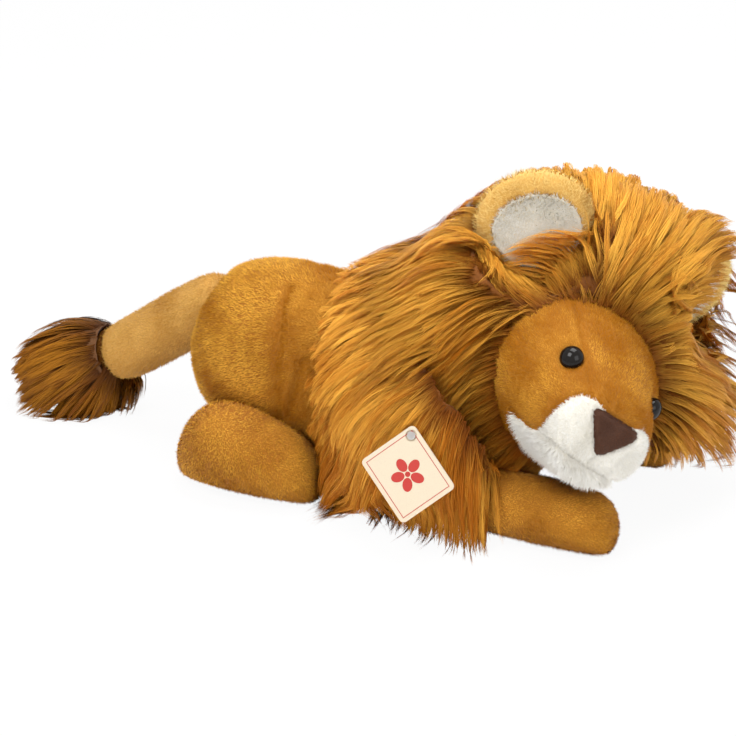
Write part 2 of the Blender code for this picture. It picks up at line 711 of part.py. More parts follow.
def make_tag(cape_form):
    """Folded card on a pin: back leaf, cover leaf and the pin, hung by the top corner."""
    face = Matrix.Rotation(tag_face_yaw, 4, "Z") @ Matrix.Rotation(-tag_lean, 4, "Y")
    normal = (face @ Vector((1, 0, 0))).normalized()
    reach = max(normal.dot(point) for point in finished_points(cape_form))
    top = Vector((tag_x, 0, tag_z))
    top.y = (reach + tag_stand_off - normal.x * top.x - normal.z * top.z) / normal.y
    corner = math.atan2(tag_width, tag_height)
    place = Matrix.Translation(top) @ face @ Matrix.Rotation(corner, 4, "X")
    swing = joint_axis("tag_swing_axis", top, -tag_swing, tag_swing)
    fold = place @ Vector((leaf_thick + leaf_gap / 2, tag_hole_inset, 0))
    hinge = joint_axis("tag_open_axis", fold, 0.0, tag_open)
    low = (tag_hole_inset, tag_hole_inset)
    for name, offset, radius, axis in (("tag_back", 0.0, tag_hole_radius, swing),
                                       ("tag_cover", leaf_thick + leaf_gap, cover_hole_radius, hinge)):
        hole = drum(name + "_hole", radius, overrun, place @ ALONG_X, CUTTERS)
        shape = bmesh.new()
        bmesh.ops.create_cube(shape, size=1.0)
        bmesh.ops.scale(shape, vec=(leaf_thick, tag_width, tag_height), verts=shape.verts)
        middle = (leaf_thick / 2 + offset, low[0] - tag_width / 2, low[1] - tag_height / 2)
        bmesh.ops.translate(shape, vec=middle, verts=shape.verts)
        corners = []
        for edge in shape.edges:
            if abs(edge.verts[0].co.x - edge.verts[1].co.x) > leaf_thick / 2:
                corners.append(edge)
        bmesh.ops.bevel(shape, geom=corners, offset=tag_corner, segments=4, profile=0.5, affect="EDGES")
        leaf = link_mesh(name, shape, PARTS, CARD)
        set_place(leaf, place, axis)
        cut(leaf, hole)
    behind = []
    for side in range(ROUND_SIDES):
        turn = Matrix.Rotation(2 * math.pi * side / ROUND_SIDES, 4, "X")
        start = place @ turn @ Vector((0, 0, pin_radius))
        pile, _ = surface_hit(cape_form, start, -normal)
        behind.append((pile - start).length)
    front = leaf_thick + seam_gap + pin_head_thick / 2
    length = front + min(behind) - seam_gap
    middle = Matrix.Translation((0, 0, front - length / 2))
    pin = drum("tag_pin", pin_radius, length, place @ ALONG_X @ middle, PARTS, CLEAR, sides=10)
    cap = drum("tag_pin_head", pin_head_radius, pin_head_thick,
               place @ ALONG_X @ Matrix.Translation((0, 0, front)), CUTTERS)
    combine(pin, cap, "UNION")


def make_lion():
    room = hood_room()
    skin, filling, torso_outside, bed = make_torso(room)
    for side in (-1, 1):
        make_leg("front", side, front_station_shares, front_leg_length, front_leg_width,
                 front_leg_height, front_leg_start, front_leg_apart - side * front_leg_aside,
                 front_leg_splay, front_leg_inset, front_leg_swing, torso_outside)
        make_leg("hind", side, hind_station_shares, hind_leg_length, hind_leg_width,
                 hind_leg_height, hind_leg_start, hind_leg_apart,
                 hind_leg_splay, 0.0, hind_leg_swing, torso_outside)
    make_tail()
    pieces, head_filling, head_outside = make_head()
    hood, cape = make_mane(room, head_outside, torso_outside, bed)
    bpy.context.view_layer.update()
    for side in (-1, 1):
        make_eye(side, pieces["head_skin"], head_filling, head_outside)
        make_ear(side, head_outside, hood)
    bpy.context.view_layer.update()
    make_tag(cape)
    bpy.context.view_layer.update()


make_lion()
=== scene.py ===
# %% [markdown]
# A stuffed plush lion that lies on its belly, with a long shaggy mane.
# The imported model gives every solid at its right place. This lesson dresses it:
# soft bags get rounder forms, every cloth gets its pile as real strands, and
# the hard pieces get their gloss. Lengths are metres, so MM turns millimetres
# into them. Forward is +X, and the lion's right side faces -Y.

# %% Load the frame
import math

import bmesh
import bpy
import numpy as np
from mathutils import Matrix, Vector
from mathutils.bvhtree import BVHTree


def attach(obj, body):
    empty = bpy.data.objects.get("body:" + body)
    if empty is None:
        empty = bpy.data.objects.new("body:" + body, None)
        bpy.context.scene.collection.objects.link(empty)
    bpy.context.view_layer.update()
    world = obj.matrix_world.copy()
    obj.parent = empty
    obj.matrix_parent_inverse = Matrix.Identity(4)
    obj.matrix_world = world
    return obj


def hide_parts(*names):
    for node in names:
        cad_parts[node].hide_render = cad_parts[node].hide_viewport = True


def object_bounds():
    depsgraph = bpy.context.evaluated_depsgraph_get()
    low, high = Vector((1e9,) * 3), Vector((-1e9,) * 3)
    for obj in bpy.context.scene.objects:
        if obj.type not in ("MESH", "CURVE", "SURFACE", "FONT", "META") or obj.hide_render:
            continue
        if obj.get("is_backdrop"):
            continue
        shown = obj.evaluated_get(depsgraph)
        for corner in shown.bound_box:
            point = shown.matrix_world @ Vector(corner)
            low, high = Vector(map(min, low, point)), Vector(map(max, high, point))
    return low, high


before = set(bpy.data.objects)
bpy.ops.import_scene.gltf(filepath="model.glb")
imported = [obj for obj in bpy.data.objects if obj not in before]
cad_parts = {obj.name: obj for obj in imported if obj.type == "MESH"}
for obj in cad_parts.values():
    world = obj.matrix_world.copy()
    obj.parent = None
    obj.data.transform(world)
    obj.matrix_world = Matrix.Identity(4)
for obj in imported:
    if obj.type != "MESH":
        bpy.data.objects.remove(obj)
cad_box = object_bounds()
MM = 0.001

# %% [markdown]
# The photograph looks down on the lion's right side. Its focal length is
# unknown, so a long lens from 1.7 m is used, which keeps the near paw from
# growing too large. The model's origin shows at pixel 455, 470 of 736 by 736,
# and the camera aims at the point that then falls in the picture's middle.

# %% Camera
AZIMUTH = math.radians(21.5)
ELEVATION = math.radians(25.0)
DISTANCE = 1.7
METRES_PER_PIXEL = 0.00065
PICTURE = 736
MIDDLE = PICTURE / 2
ORIGIN_AT = (455, 470)


def place_in_scene(name, data):
    """An object made from its data and linked to the scene."""
    made = bpy.data.objects.new(name, data)
    bpy.context.scene.collection.objects.link(made)
    return made


back = Vector((math.sin(AZIMUTH) * math.cos(ELEVATION),
               -math.cos(AZIMUTH) * math.cos(ELEVATION), math.sin(ELEVATION)))
right = Vector((math.cos(AZIMUTH), math.sin(AZIMUTH), 0.0))
up = back.cross(right)
aim = (right * (MIDDLE - ORIGIN_AT[0]) + up * (ORIGIN_AT[1] - MIDDLE)) * METRES_PER_PIXEL
camera_data = bpy.data.cameras.new("camera")
camera = place_in_scene("camera", camera_data)
camera.matrix_world = Matrix(((right.x, up.x, back.x, 0), (right.y, up.y, back.y, 0),
                              (right.z, up.z, back.z, 0), (0, 0, 0, 1)))
camera.location = aim + back * DISTANCE
camera_data.sensor_width = 36
camera_data.lens = camera_data.sensor_width * DISTANCE / (PICTURE * METRES_PER_PIXEL)
camera_data.clip_start = 0.01
bpy.context.scene.camera = camera
print("camera lens mm:", round(camera_data.lens, 1))

# %% [markdown]
# A material is a small net of nodes, and so is the world's light. The same few
# steps come up in each: give a node its values, work out a number from two
# others, and mix two shaders by it. Each step is a helper of its own.

# %% Helpers for nodes
WHITE = (1, 1, 1, 1)


def new_material(name):
    made = bpy.data.materials.new(name)
    made.use_nodes = True
    return made, made.node_tree.nodes, made.node_tree.links


def set_inputs(node, values):
    for label, value in values.items():
        node.inputs[label].default_value = value


def math_of(tree, operation, first, second):
    """The result of a math node that is fed by a socket, and by a socket or a number."""
    node = tree.nodes.new("ShaderNodeMath")
    node.operation = operation
    tree.links.new(first, node.inputs[0])
    if isinstance(second, float):
        node.inputs[1].default_value = second
    else:
        tree.links.new(second, node.inputs[1])
    return node.outputs[0]


def mix_shaders(tree, factor, low, high, surface):
    """Shows low where the factor is 0 and high where it is 1, on the given surface."""
    mixed = tree.nodes.new("ShaderNodeMixShader")
    for number, socket in enumerate((factor, low.outputs[0], high.outputs[0])):
        tree.links.new(socket, mixed.inputs[number])
    tree.links.new(mixed.outputs[0], surface)


print("helpers for nodes are ready, white is", WHITE[:3])

# %% [markdown]
# A product photo like this one is taken on white paper under big soft lamps.
# The lamps light the toy at a plain level. The white of the background comes
# from what the camera alone sees, so the toy itself isn't over-lit.

# %% White paper floor
PAPER_SEEN = 0.94
FLOOR_HALF = 6.0
paper, nodes, _ = new_material("white_paper")
shader = nodes["Principled BSDF"]
set_inputs(shader, {"Base Color": (0.92, 0.92, 0.92, 1), "Roughness": 0.9})
shine = nodes.new("ShaderNodeEmission")
set_inputs(shine, {"Color": WHITE, "Strength": 1.0})
path = nodes.new("ShaderNodeLightPath")
seen = math_of(paper.node_tree, "MULTIPLY", path.outputs["Is Camera Ray"], PAPER_SEEN)
mix_shaders(paper.node_tree, seen, shader, shine, nodes["Material Output"].inputs["Surface"])

shape = bmesh.new()
bmesh.ops.create_grid(shape, x_segments=2, y_segments=2, size=FLOOR_HALF)
floor_mesh = bpy.data.meshes.new("floor")
shape.to_mesh(floor_mesh)
shape.free()
floor_mesh.materials.append(paper)
floor = place_in_scene("floor", floor_mesh)
floor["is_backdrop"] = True
print("floor metres across:", 2 * FLOOR_HALF)

# %% [markdown]
# The world lights the toy softly from all around. A second, brighter white is
# shown only to the camera and in reflections and clear plastic.

# %% World and lamps
SKY_LIGHT = 0.44
LAMPS = {"key_lamp": ((-0.35, -1.0, 1.6), 0.8, 18.0), "fill_lamp": ((1.3, -0.9, 0.9), 1.0, 8.0),
         "top_lamp": ((0.1, 0.35, 1.8), 1.0, 21.0)}
CHEST = Vector((0.0, 0.0, 0.08))
world = bpy.data.worlds.new("studio")
bpy.context.scene.world = world
world.use_nodes = True
tree = world.node_tree
sky = tree.nodes["Background"]
set_inputs(sky, {"Color": WHITE, "Strength": SKY_LIGHT})
bright = tree.nodes.new("ShaderNodeBackground")
set_inputs(bright, {"Color": WHITE, "Strength": 1.0})
path = tree.nodes.new("ShaderNodeLightPath")
seen = math_of(tree, "MAXIMUM", path.outputs["Is Camera Ray"], path.outputs["Is Glossy Ray"])
seen = math_of(tree, "MAXIMUM", seen, path.outputs["Is Transmission Ray"])
mix_shaders(tree, seen, sky, bright, tree.nodes["World Output"].inputs["Surface"])


def soft_lamp(name, place, size, watts):
    data = bpy.data.lights.new(name, "AREA")
    data.size = size
    data.energy = watts
    lamp = place_in_scene(name, data)
    lamp.location = place
    lamp.rotation_euler = (CHEST - Vector(place)).to_track_quat("-Z", "Y").to_euler()


for name, (place, size, watts) in LAMPS.items():
    soft_lamp(name, place, size, watts)
bpy.context.scene.view_settings.view_transform = "Standard"
print("lamps:", len(bpy.data.lights))

# %% [markdown]
# Two effects come up in many materials, so each is built once as a node group.
# The first paints cloth under its pile: soft patches where the nap was brushed
# one way or the other, and a fine fibre grain.

# %% Group for brushed cloth
def new_group(name, inputs, outputs):
    group = bpy.data.node_groups.new(name, "ShaderNodeTree")
    for label, kind, value in inputs:
        socket = group.interface.new_socket(name=label, in_out="INPUT", socket_type=kind)
        socket.default_value = value
    for label, kind in outputs:
        group.interface.new_socket(name=label, in_out="OUTPUT", socket_type=kind)
    return group, group.nodes.new("NodeGroupInput"), group.nodes.new("NodeGroupOutput")


def mix_colour(group, factor, low, high):
    mix = group.nodes.new("ShaderNodeMix")
    mix.data_type = "RGBA"
    group.links.new(factor, mix.inputs[0])
    group.links.new(low, mix.inputs[6])
    group.links.new(high, mix.inputs[7])
    return mix.outputs[2]


COLOUR = "NodeSocketColor"
NUMBER = "NodeSocketFloat"
cloth_group, given, result = new_group(
    "brushed_cloth",
    [("Deep", COLOUR, (0.3, 0.1, 0.02, 1)), ("Pale", COLOUR, (0.6, 0.3, 0.1, 1)),
     ("Patch Scale", NUMBER, 22.0)],
    [("Colour", COLOUR), ("Height", NUMBER)])
spot = cloth_group.nodes.new("ShaderNodeTexCoord")
patch = cloth_group.nodes.new("ShaderNodeTexNoise")
set_inputs(patch, {"Detail": 4.0})
fibre = cloth_group.nodes.new("ShaderNodeTexNoise")
set_inputs(fibre, {"Scale": 900.0, "Detail": 3.0})
cloth_group.links.new(spot.outputs["Object"], patch.inputs["Vector"])
cloth_group.links.new(spot.outputs["Object"], fibre.inputs["Vector"])
cloth_group.links.new(given.outputs["Patch Scale"], patch.inputs["Scale"])
both = cloth_group.nodes.new("ShaderNodeMath")
both.operation = "MULTIPLY_ADD"
both.inputs[1].default_value = 0.35
cloth_group.links.new(fibre.outputs["Fac"], both.inputs[0])
cloth_group.links.new(patch.outputs["Fac"], both.inputs[2])
spread = cloth_group.nodes.new("ShaderNodeMapRange")
set_inputs(spread, {"From Min": 0.5, "From Max": 0.85})
cloth_group.links.new(both.outputs[0], spread.inputs["Value"])
dyed = mix_colour(cloth_group, spread.outputs[0], given.outputs["Deep"], given.outputs["Pale"])
cloth_group.links.new(dyed, result.inputs["Colour"])
cloth_group.links.new(fibre.outputs["Fac"], result.inputs["Height"])
print("nodes in the cloth's group:", len(cloth_group.nodes))

# %% [markdown]
# The second group colours a strand. Every strand stores two numbers in its UV
# map: across is the tone that this strand drew, and along runs from its root
# to its tip. So one material serves thousands of strands, each a bit different.
# Over the first share of its length a strand fades in from a darker root colour,
# which is painted shade deep in the pile.

# %% Group for the tone of a strand
strand_group, given, result = new_group(
    "strand_tone",
    [("Root", COLOUR, (0.1, 0.03, 0.01, 1)), ("Middle", COLOUR, (0.4, 0.18, 0.03, 1)),
     ("Tip", COLOUR, (0.7, 0.4, 0.1, 1)), ("Root Shade Share", NUMBER, 0.35)],
    [("Colour", COLOUR)])
stored = strand_group.nodes.new("ShaderNodeUVMap")
stored.uv_map = "OFBake"
parts = strand_group.nodes.new("ShaderNodeSeparateXYZ")
strand_group.links.new(stored.outputs["UV"], parts.inputs[0])
# Painted shade: the root colour covers the first share of a strand's length, where the pile shades itself.
rise = strand_group.nodes.new("ShaderNodeMath")
rise.operation = "DIVIDE"
rise.use_clamp = True
strand_group.links.new(parts.outputs["Y"], rise.inputs[0])
strand_group.links.new(given.outputs["Root Shade Share"], rise.inputs[1])
toned = mix_colour(strand_group, parts.outputs["X"], given.outputs["Middle"], given.outputs["Tip"])
dyed = mix_colour(strand_group, rise.outputs[0], given.outputs["Root"], toned)
strand_group.links.new(dyed, result.inputs["Colour"])
print("groups:", [group.name for group in bpy.data.node_groups])

# %% [markdown]
# Each cloth of the toy has a pair of finishes: the backing cloth seen between
# the strands, and the strands themselves. Sheen stands for the soft glow that
# fine fibres give at a grazing angle.

# %% How a finish is made
def cloth_finish(name, deep, pale, sheen=0.10):
    made, nodes, links = new_material(name)
    shader = nodes["Principled BSDF"]
    set_inputs(shader, {"Roughness": 0.95, "Sheen Weight": sheen, "Sheen Roughness": 0.5})
    paint = nodes.new("ShaderNodeGroup")
    paint.node_tree = cloth_group
    set_inputs(paint, {"Deep": (*deep, 1), "Pale": (*pale, 1), "Patch Scale": 22.0})
    bump = nodes.new("ShaderNodeBump")
    set_inputs(bump, {"Strength": 0.5, "Distance": 0.8 * MM})
    links.new(paint.outputs["Colour"], shader.inputs["Base Color"])
    links.new(paint.outputs["Height"], bump.inputs["Height"])
    links.new(bump.outputs["Normal"], shader.inputs["Normal"])
    return made


def strand_finish(name, root, middle, tip, root_shade_share, roughness=0.6):
    made, nodes, links = new_material(name)
    shader = nodes["Principled BSDF"]
    set_inputs(shader, {"Roughness": roughness, "Specular IOR Level": 0.13, "Sheen Weight": 0.0})
    paint = nodes.new("ShaderNodeGroup")
    paint.node_tree = strand_group
    set_inputs(paint, {"Root": (*root, 1), "Middle": (*middle, 1), "Tip": (*tip, 1),
                       "Root Shade Share": root_shade_share})
    links.new(paint.outputs["Colour"], shader.inputs["Base Color"])
    return made


print("backing and strand finishes can now be made")

# %% [markdown]
# The coat is gold, the tail and the ears' rims are bleached paler, and the
# mane runs from reddish brown roots to straw-coloured tips. All roots are drawn
# darker than the rest of a strand: painted shade deep in the pile, which for the
# mane adds to its own reddish brown. The tuft is the darkest pile. The muzzle's
# white is warm, and the nose is a dark brown felt.

# %% Cloth and strand finishes
GOLD_CLOTH = cloth_finish("gold_cloth", (0.32, 0.108, 0.003), (0.48, 0.19, 0.009), sheen=0.04)
GOLD_PILE = strand_finish("gold_pile", (0.31, 0.098, 0.003), (0.42, 0.143, 0.004), (0.88, 0.445, 0.052), 0.6)
PALE_CLOTH = cloth_finish("pale_cloth", (0.48, 0.22, 0.035), (0.64, 0.34, 0.075))
PALE_PILE = strand_finish("pale_pile", (0.46, 0.20, 0.025), (0.58, 0.27, 0.045), (0.90, 0.54, 0.14), 0.6)
EAR_PILE = strand_finish("ear_pile", (0.72, 0.38, 0.07), (0.90, 0.54, 0.12), (1.0, 0.76, 0.28), 0.6)
EAR_CLOTH = cloth_finish("ear_cloth", (0.74, 0.42, 0.09), (0.92, 0.60, 0.17))
# Painted shade: the mane's backing is darker than its own reddish brown, so that partings read as shadow.
MANE_CLOTH_AND_SHADE = cloth_finish("mane_cloth_and_shade", (0.13, 0.038, 0.003), (0.24, 0.075, 0.006), sheen=0.0)
MANE_PILE = strand_finish("mane_strands", (0.17, 0.040, 0.002), (0.50, 0.145, 0.005), (1.0, 0.515, 0.068),
                          0.46, 0.5)
TUFT_CLOTH = cloth_finish("tuft_cloth", (0.06, 0.022, 0.005), (0.12, 0.045, 0.01))
TUFT_PILE = strand_finish("tuft_strands", (0.08, 0.022, 0.002), (0.21, 0.064, 0.003), (0.46, 0.18, 0.010),
                          0.45, 0.5)
WHITE_CLOTH = cloth_finish("white_cloth", (0.80, 0.76, 0.66), (0.90, 0.87, 0.79))
WHITE_PILE = strand_finish("white_pile", (0.82, 0.77, 0.67), (0.90, 0.865, 0.78), (0.96, 0.945, 0.90), 0.4)
NOSE_CLOTH = cloth_finish("nose_cloth", (0.050, 0.017, 0.007), (0.085, 0.030, 0.013))
NOSE_PILE = strand_finish("nose_pile", (0.050, 0.017, 0.008), (0.090, 0.032, 0.014), (0.16, 0.065, 0.035),
                          0.5)
print("finishes:", len(bpy.data.materials))

# %% [markdown]
# The hard pieces keep their imported solids. A safety eye is one glossy black
# dome. The hang tag is thin cream card on a clear plastic pin. Card is never
# one flat colour: faint fibres run through it.

# %% Card, eye and pin finishes
def hard_finish(name, colour, roughness, grain, grain_scale, extra):
    """A smooth finish with fine grain. Extra holds further inputs of the shader."""
    made, nodes, links = new_material(name)
    shader = nodes["Principled BSDF"]
    set_inputs(shader, extra)
    spot = nodes.new("ShaderNodeTexCoord")
    noise = nodes.new("ShaderNodeTexNoise")
    set_inputs(noise, {"Scale": grain_scale, "Detail": 6.0})
    links.new(spot.outputs["Object"], noise.inputs["Vector"])
    tint = nodes.new("ShaderNodeMix")
    tint.data_type = "RGBA"
    tint.inputs[6].default_value = (*[part * (1 - grain) for part in colour], 1)
    tint.inputs[7].default_value = (*colour, 1)
    links.new(noise.outputs["Fac"], tint.inputs[0])
    links.new(tint.outputs[2], shader.inputs["Base Color"])
    rough = nodes.new("ShaderNodeMapRange")
    set_inputs(rough, {"To Min": roughness * 0.85, "To Max": min(1.0, roughness * 1.15)})
    links.new(noise.outputs["Fac"], rough.inputs["Value"])
    links.new(rough.outputs[0], shader.inputs["Roughness"])
    bump = nodes.new("ShaderNodeBump")
    set_inputs(bump, {"Strength": grain, "Distance": 0.1 * MM})
    links.new(noise.outputs["Fac"], bump.inputs["Height"])
    links.new(bump.outputs["Normal"], shader.inputs["Normal"])
    return made


EYE_GLOSS = hard_finish("eye_gloss", (0.008, 0.006, 0.005), 0.06, 0.02, 600.0,
                        {"Coat Weight": 0.10, "Coat Roughness": 0.03, "Specular IOR Level": 0.16})
CARD = hard_finish("cream_card", (0.78, 0.66, 0.49), 0.7, 0.16, 1400.0, {})
PRINT = hard_finish("red_print", (0.52, 0.035, 0.025), 0.55, 0.15, 1500.0, {})
CLEAR = hard_finish("clear_pin", (0.80, 0.80, 0.78), 0.3, 0.05, 500.0, {"Transmission Weight": 0.6})
print("hard finishes:", EYE_GLOSS.name, CARD.name, PRINT.name, CLEAR.name)

# %% [markdown]
# All later shapes are made as arrays of points, because the toy needs many
# thousands of strands. These helpers turn a solid into arrays and back.

# %% Meshes and arrays
def arrays_of(piece):
    mesh = piece.data
    mesh.calc_loop_triangles()
    points = np.empty(len(mesh.vertices) * 3)
    mesh.vertices.foreach_get("co", points)
    corners = np.empty(len(mesh.loop_triangles) * 3, np.int32)
    mesh.loop_triangles.foreach_get("vertices", corners)
    return points.reshape(-1, 3), corners.reshape(-1, 3)


def slopes_of(piece):
    slopes = np.empty(len(piece.data.vertices) * 3)
    piece.data.vertices.foreach_get("normal", slopes)
    return slopes.reshape(-1, 3)


def joined(pieces):
    points, corners, count = [], [], 0
    for piece in pieces:
        some, faces = arrays_of(piece)
        points.append(some)
        corners.append(faces + count)
        count += len(some)
    return np.concatenate(points), np.concatenate(corners)


def tree_of(*pieces):
    """A search tree over the faces of all the pieces, for rays and nearest places."""
    points, corners = joined(pieces)
    return BVHTree.FromPolygons(points.tolist(), corners.tolist())


def unit(vectors):
    return vectors / np.maximum(np.linalg.norm(vectors, axis=-1, keepdims=True), 1e-9)


print("solids read:", len(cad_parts))

# %% [markdown]
# Every visible piece is made in the same way. It rides on one body of
# the model and stands for the solids that it hides.

# %% How a piece is made and dressed
def piece_from(name, points, faces, finish):
    mesh = bpy.data.meshes.new(name)
    mesh.from_pydata(points.tolist(), [], faces if isinstance(faces, list) else faces.tolist())
    mesh.update()
    made = place_in_scene(name, mesh)
    mesh.materials.append(finish)
    mesh.shade_smooth()
    return made


def dress(piece, body, nodes=()):
    """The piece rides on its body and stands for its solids."""
    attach(piece, body)
    if nodes:
        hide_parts(*nodes)
    return piece


def apply_all(piece):
    graph = bpy.context.evaluated_depsgraph_get()
    ready = bpy.data.meshes.new_from_object(piece.evaluated_get(graph))
    old = piece.data
    piece.modifiers.clear()
    piece.data = ready
    bpy.data.meshes.remove(old)


print("pieces can now be made and dressed")

# %% [markdown]
# A seam pulls the cloth in along its line. How deep a point sinks depends only
# on its distance to that line, so one function for distances serves the seams
# of the body, the outlines of the face's panels, and the pile's darker lines.

# %% Distances to seams
FAR_OFF = 9.0


def line_distance(points, line):
    """Distance in space or in a plane to an open line, whose places are millimetres."""
    line = np.array(line, float) * MM
    nearest = np.full(len(points), FAR_OFF)
    for start, end in zip(line[:-1], line[1:]):
        side = end - start
        along = np.clip(((points - start) @ side) / (side @ side), 0, 1)
        nearest = np.minimum(nearest, np.linalg.norm(points - start - along[:, None] * side, axis=1))
    return nearest


def draw_seam(piece, lines, depth, width):
    """Sinks a stitched seam into a bag along lines, on both sides of the body."""
    points, _ = arrays_of(piece)
    near = seam_distance(points, lines)
    points -= slopes_of(piece) * (depth * np.exp(-(near / width) ** 2))[:, None]
    piece.data.vertices.foreach_set("co", points.ravel())
    piece.data.update()


def seam_distance(points, lines):
    right_side = np.stack([points[:, 0], -np.abs(points[:, 1]), points[:, 2]], 1)
    return np.minimum.reduce([line_distance(right_side, line) for line in lines])


print("no line near means metres:", FAR_OFF)

# %% [markdown]
# A stuffed bag is cloth blown up by its filling. So each bag starts as its
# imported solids, is remeshed into even squares and is smoothed. Only the outer
# skin is kept, because the filling inside it can't be seen.

# %% How a stuffed form is made
def largest_island(shape):
    """Keeps the outer skin of a remeshed bag and drops the shells inside it."""
    left = set(shape.verts)
    best = []
    while left:
        start = left.pop()
        island, queue = [start], [start]
        while queue:
            for edge in queue.pop().link_edges:
                for other in edge.verts:
                    if other in left:
                        left.remove(other)
                        island.append(other)
                        queue.append(other)
        if len(island) > len(best):
            best = island
    keep = set(best)
    bmesh.ops.delete(shape, geom=[vert for vert in shape.verts if vert not in keep], context="VERTS")


def stuffed_form(name, nodes, voxel, finish, relax=6, shrink=0.0, subdivide=1, blow=True):
    """One even, smooth bag from the solids of the skin and its filling."""
    points, corners = joined([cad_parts[node] for node in nodes])
    made = piece_from(name, points, corners, finish)
    remesh = made.modifiers.new("even", "REMESH")
    remesh.mode = "VOXEL"
    remesh.voxel_size = voxel
    apply_all(made)
    shape = bmesh.new()
    shape.from_mesh(made.data)
    largest_island(shape)
    for _ in range(relax):
        bmesh.ops.smooth_vert(shape, verts=shape.verts, factor=0.5,
                              use_axis_x=True, use_axis_y=True, use_axis_z=True)
    if shrink:
        shape.normal_update()
        for vert in shape.verts:
            vert.co -= vert.normal * shrink
    shape.to_mesh(made.data)
    shape.free()
    if blow:
        swell(made)
    if subdivide:
        fine = made.modifiers.new("fine", "SUBSURF")
        fine.levels = subdivide
        fine.render_levels = subdivide
        apply_all(made)
    made.data.materials.clear()
    made.data.materials.append(finish)
    made.data.shade_smooth()
    low = np.array(made.bound_box).min(0)
    high = np.array(made.bound_box).max(0)
    print(name, "faces", len(made.data.polygons), "size mm", np.round((high - low) * 1000).tolist())
    return made


print("a stuffed form can now be made from its solids")

# %% [markdown]
# The bag is then swelled by the cloth solver, with air pressure and without
# gravity, which rounds it as stuffing does. How far a point may move is
# capped, because the solid already has the real size.

# %% How a bag is swelled
SWELL_CAP = 3.0 * MM
SWELL_FRAMES = 20


def swell(piece):
    """Blows a bag up by air pressure, with a cap on how far a point may move."""
    before, _ = arrays_of(piece)
    cloth = piece.modifiers.new("cloth", "CLOTH")
    cloth.settings.use_pressure = True
    cloth.settings.uniform_pressure_force = 4.0
    cloth.settings.quality = 5
    cloth.settings.tension_stiffness = 25
    cloth.settings.compression_stiffness = 25
    cloth.settings.effector_weights.gravity = 0.0
    cloth.point_cache.frame_start = 1
    cloth.point_cache.frame_end = SWELL_FRAMES
    scene = bpy.context.scene
    for number in range(1, SWELL_FRAMES + 1):
        scene.frame_set(number)
    apply_all(piece)
    scene.frame_set(1)
    after, _ = arrays_of(piece)
    move = after - before
    far = np.linalg.norm(move, axis=1, keepdims=True)
    move *= np.minimum(1.0, SWELL_CAP / np.maximum(far, 1e-9))
    after = before + move
    after[:, 2] = np.maximum(after[:, 2], np.minimum(before[:, 2], 0.2 * MM))
    piece.data.vertices.foreach_set("co", after.ravel())
    piece.data.update()
    print("  swelled", piece.name, "by up to mm", round(float(np.linalg.norm(move, axis=1).max()) * 1000, 1))


print("a point of a bag may move by up to mm:", round(SWELL_CAP / MM, 1))

# %% [markdown]
# The body is one bag with two stitched seams on its side. The legs are plump
# pads and the tail is a plain tube, so the same steps make them all.

# %% Body, legs and tail
RUMP_SEAM = ((-106, -20, 121), (-105, -34, 114), (-101, -50, 97), (-100, -58, 73), (-101, -59, 59),
             (-99, -57, 42))
FLANK_SEAM = ((-84, -54, 86), (-85, -57, 78), (-89, -59, 61), (-93, -57, 47))
BODY_SEAMS = (RUMP_SEAM, FLANK_SEAM)
SEAM_DEPTH, SEAM_WIDTH = 2.6 * MM, 3.0 * MM
torso = stuffed_form("torso_bag", ["torso_skin", "torso_filling"], 4.5 * MM, GOLD_CLOTH)
draw_seam(torso, BODY_SEAMS, SEAM_DEPTH, SEAM_WIDTH)
dress(torso, "torso", ["torso_skin", "torso_filling"])
legs = {}
for end in ("front", "hind"):
    for hand in ("right", "left"):
        leg = end + "_leg_" + hand
        legs[leg] = stuffed_form(leg + "_bag", [leg + "_skin", leg + "_filling"], 3.5 * MM, GOLD_CLOTH,
                                 relax=4)
        dress(legs[leg], leg, [leg + "_skin", leg + "_filling"])
tail = stuffed_form("tail_bag", ["tail_skin", "tail_filling"], 3.0 * MM, PALE_CLOTH, relax=4)
dress(tail, "tail", ["tail_skin", "tail_filling"])

# %% [markdown]
# The head is one stuffed form with five cloth panels sewn into it. The form
# is remeshed finely as a whole, so the panels meet without a step. Then each
# panel is puffed and each seam is drawn in, by the distance from the panels'
# outlines, which are drawn in the head's own frame: forward, aside, up.

# %% The head's frame and panel outlines
TURNED, COCKED = math.radians(-50), math.radians(-38)
HEAD = (Matrix.Translation((77 * MM, -16 * MM, 92 * MM))
        @ Matrix.Rotation(TURNED, 4, "Z") @ Matrix.Rotation(COCKED, 4, "X"))
HEAD_TURN = np.array(HEAD.to_3x3())
HEAD_PLACE = np.array(HEAD.translation)


def to_head(points):
    return (points - HEAD_PLACE) @ HEAD_TURN


def from_head(vectors):
    return np.asarray(vectors) @ HEAD_TURN.T


def outline_distance(points, outline):
    """Signed distance in the plane to a closed outline, above zero inside it."""
    nearest = line_distance(points, outline + outline[:1])
    outline = np.array(outline) * MM
    inside = np.zeros(len(points), bool)
    for start, end in zip(outline, np.roll(outline, -1, axis=0)):
        crosses = (start[1] > points[:, 1]) != (end[1] > points[:, 1])
        with np.errstate(divide="ignore", invalid="ignore"):
            where = (end[0] - start[0]) * (points[:, 1] - start[1]) / (end[1] - start[1]) + start[0]
        inside ^= crosses & (points[:, 0] < where)
    return np.where(inside, nearest, -nearest)


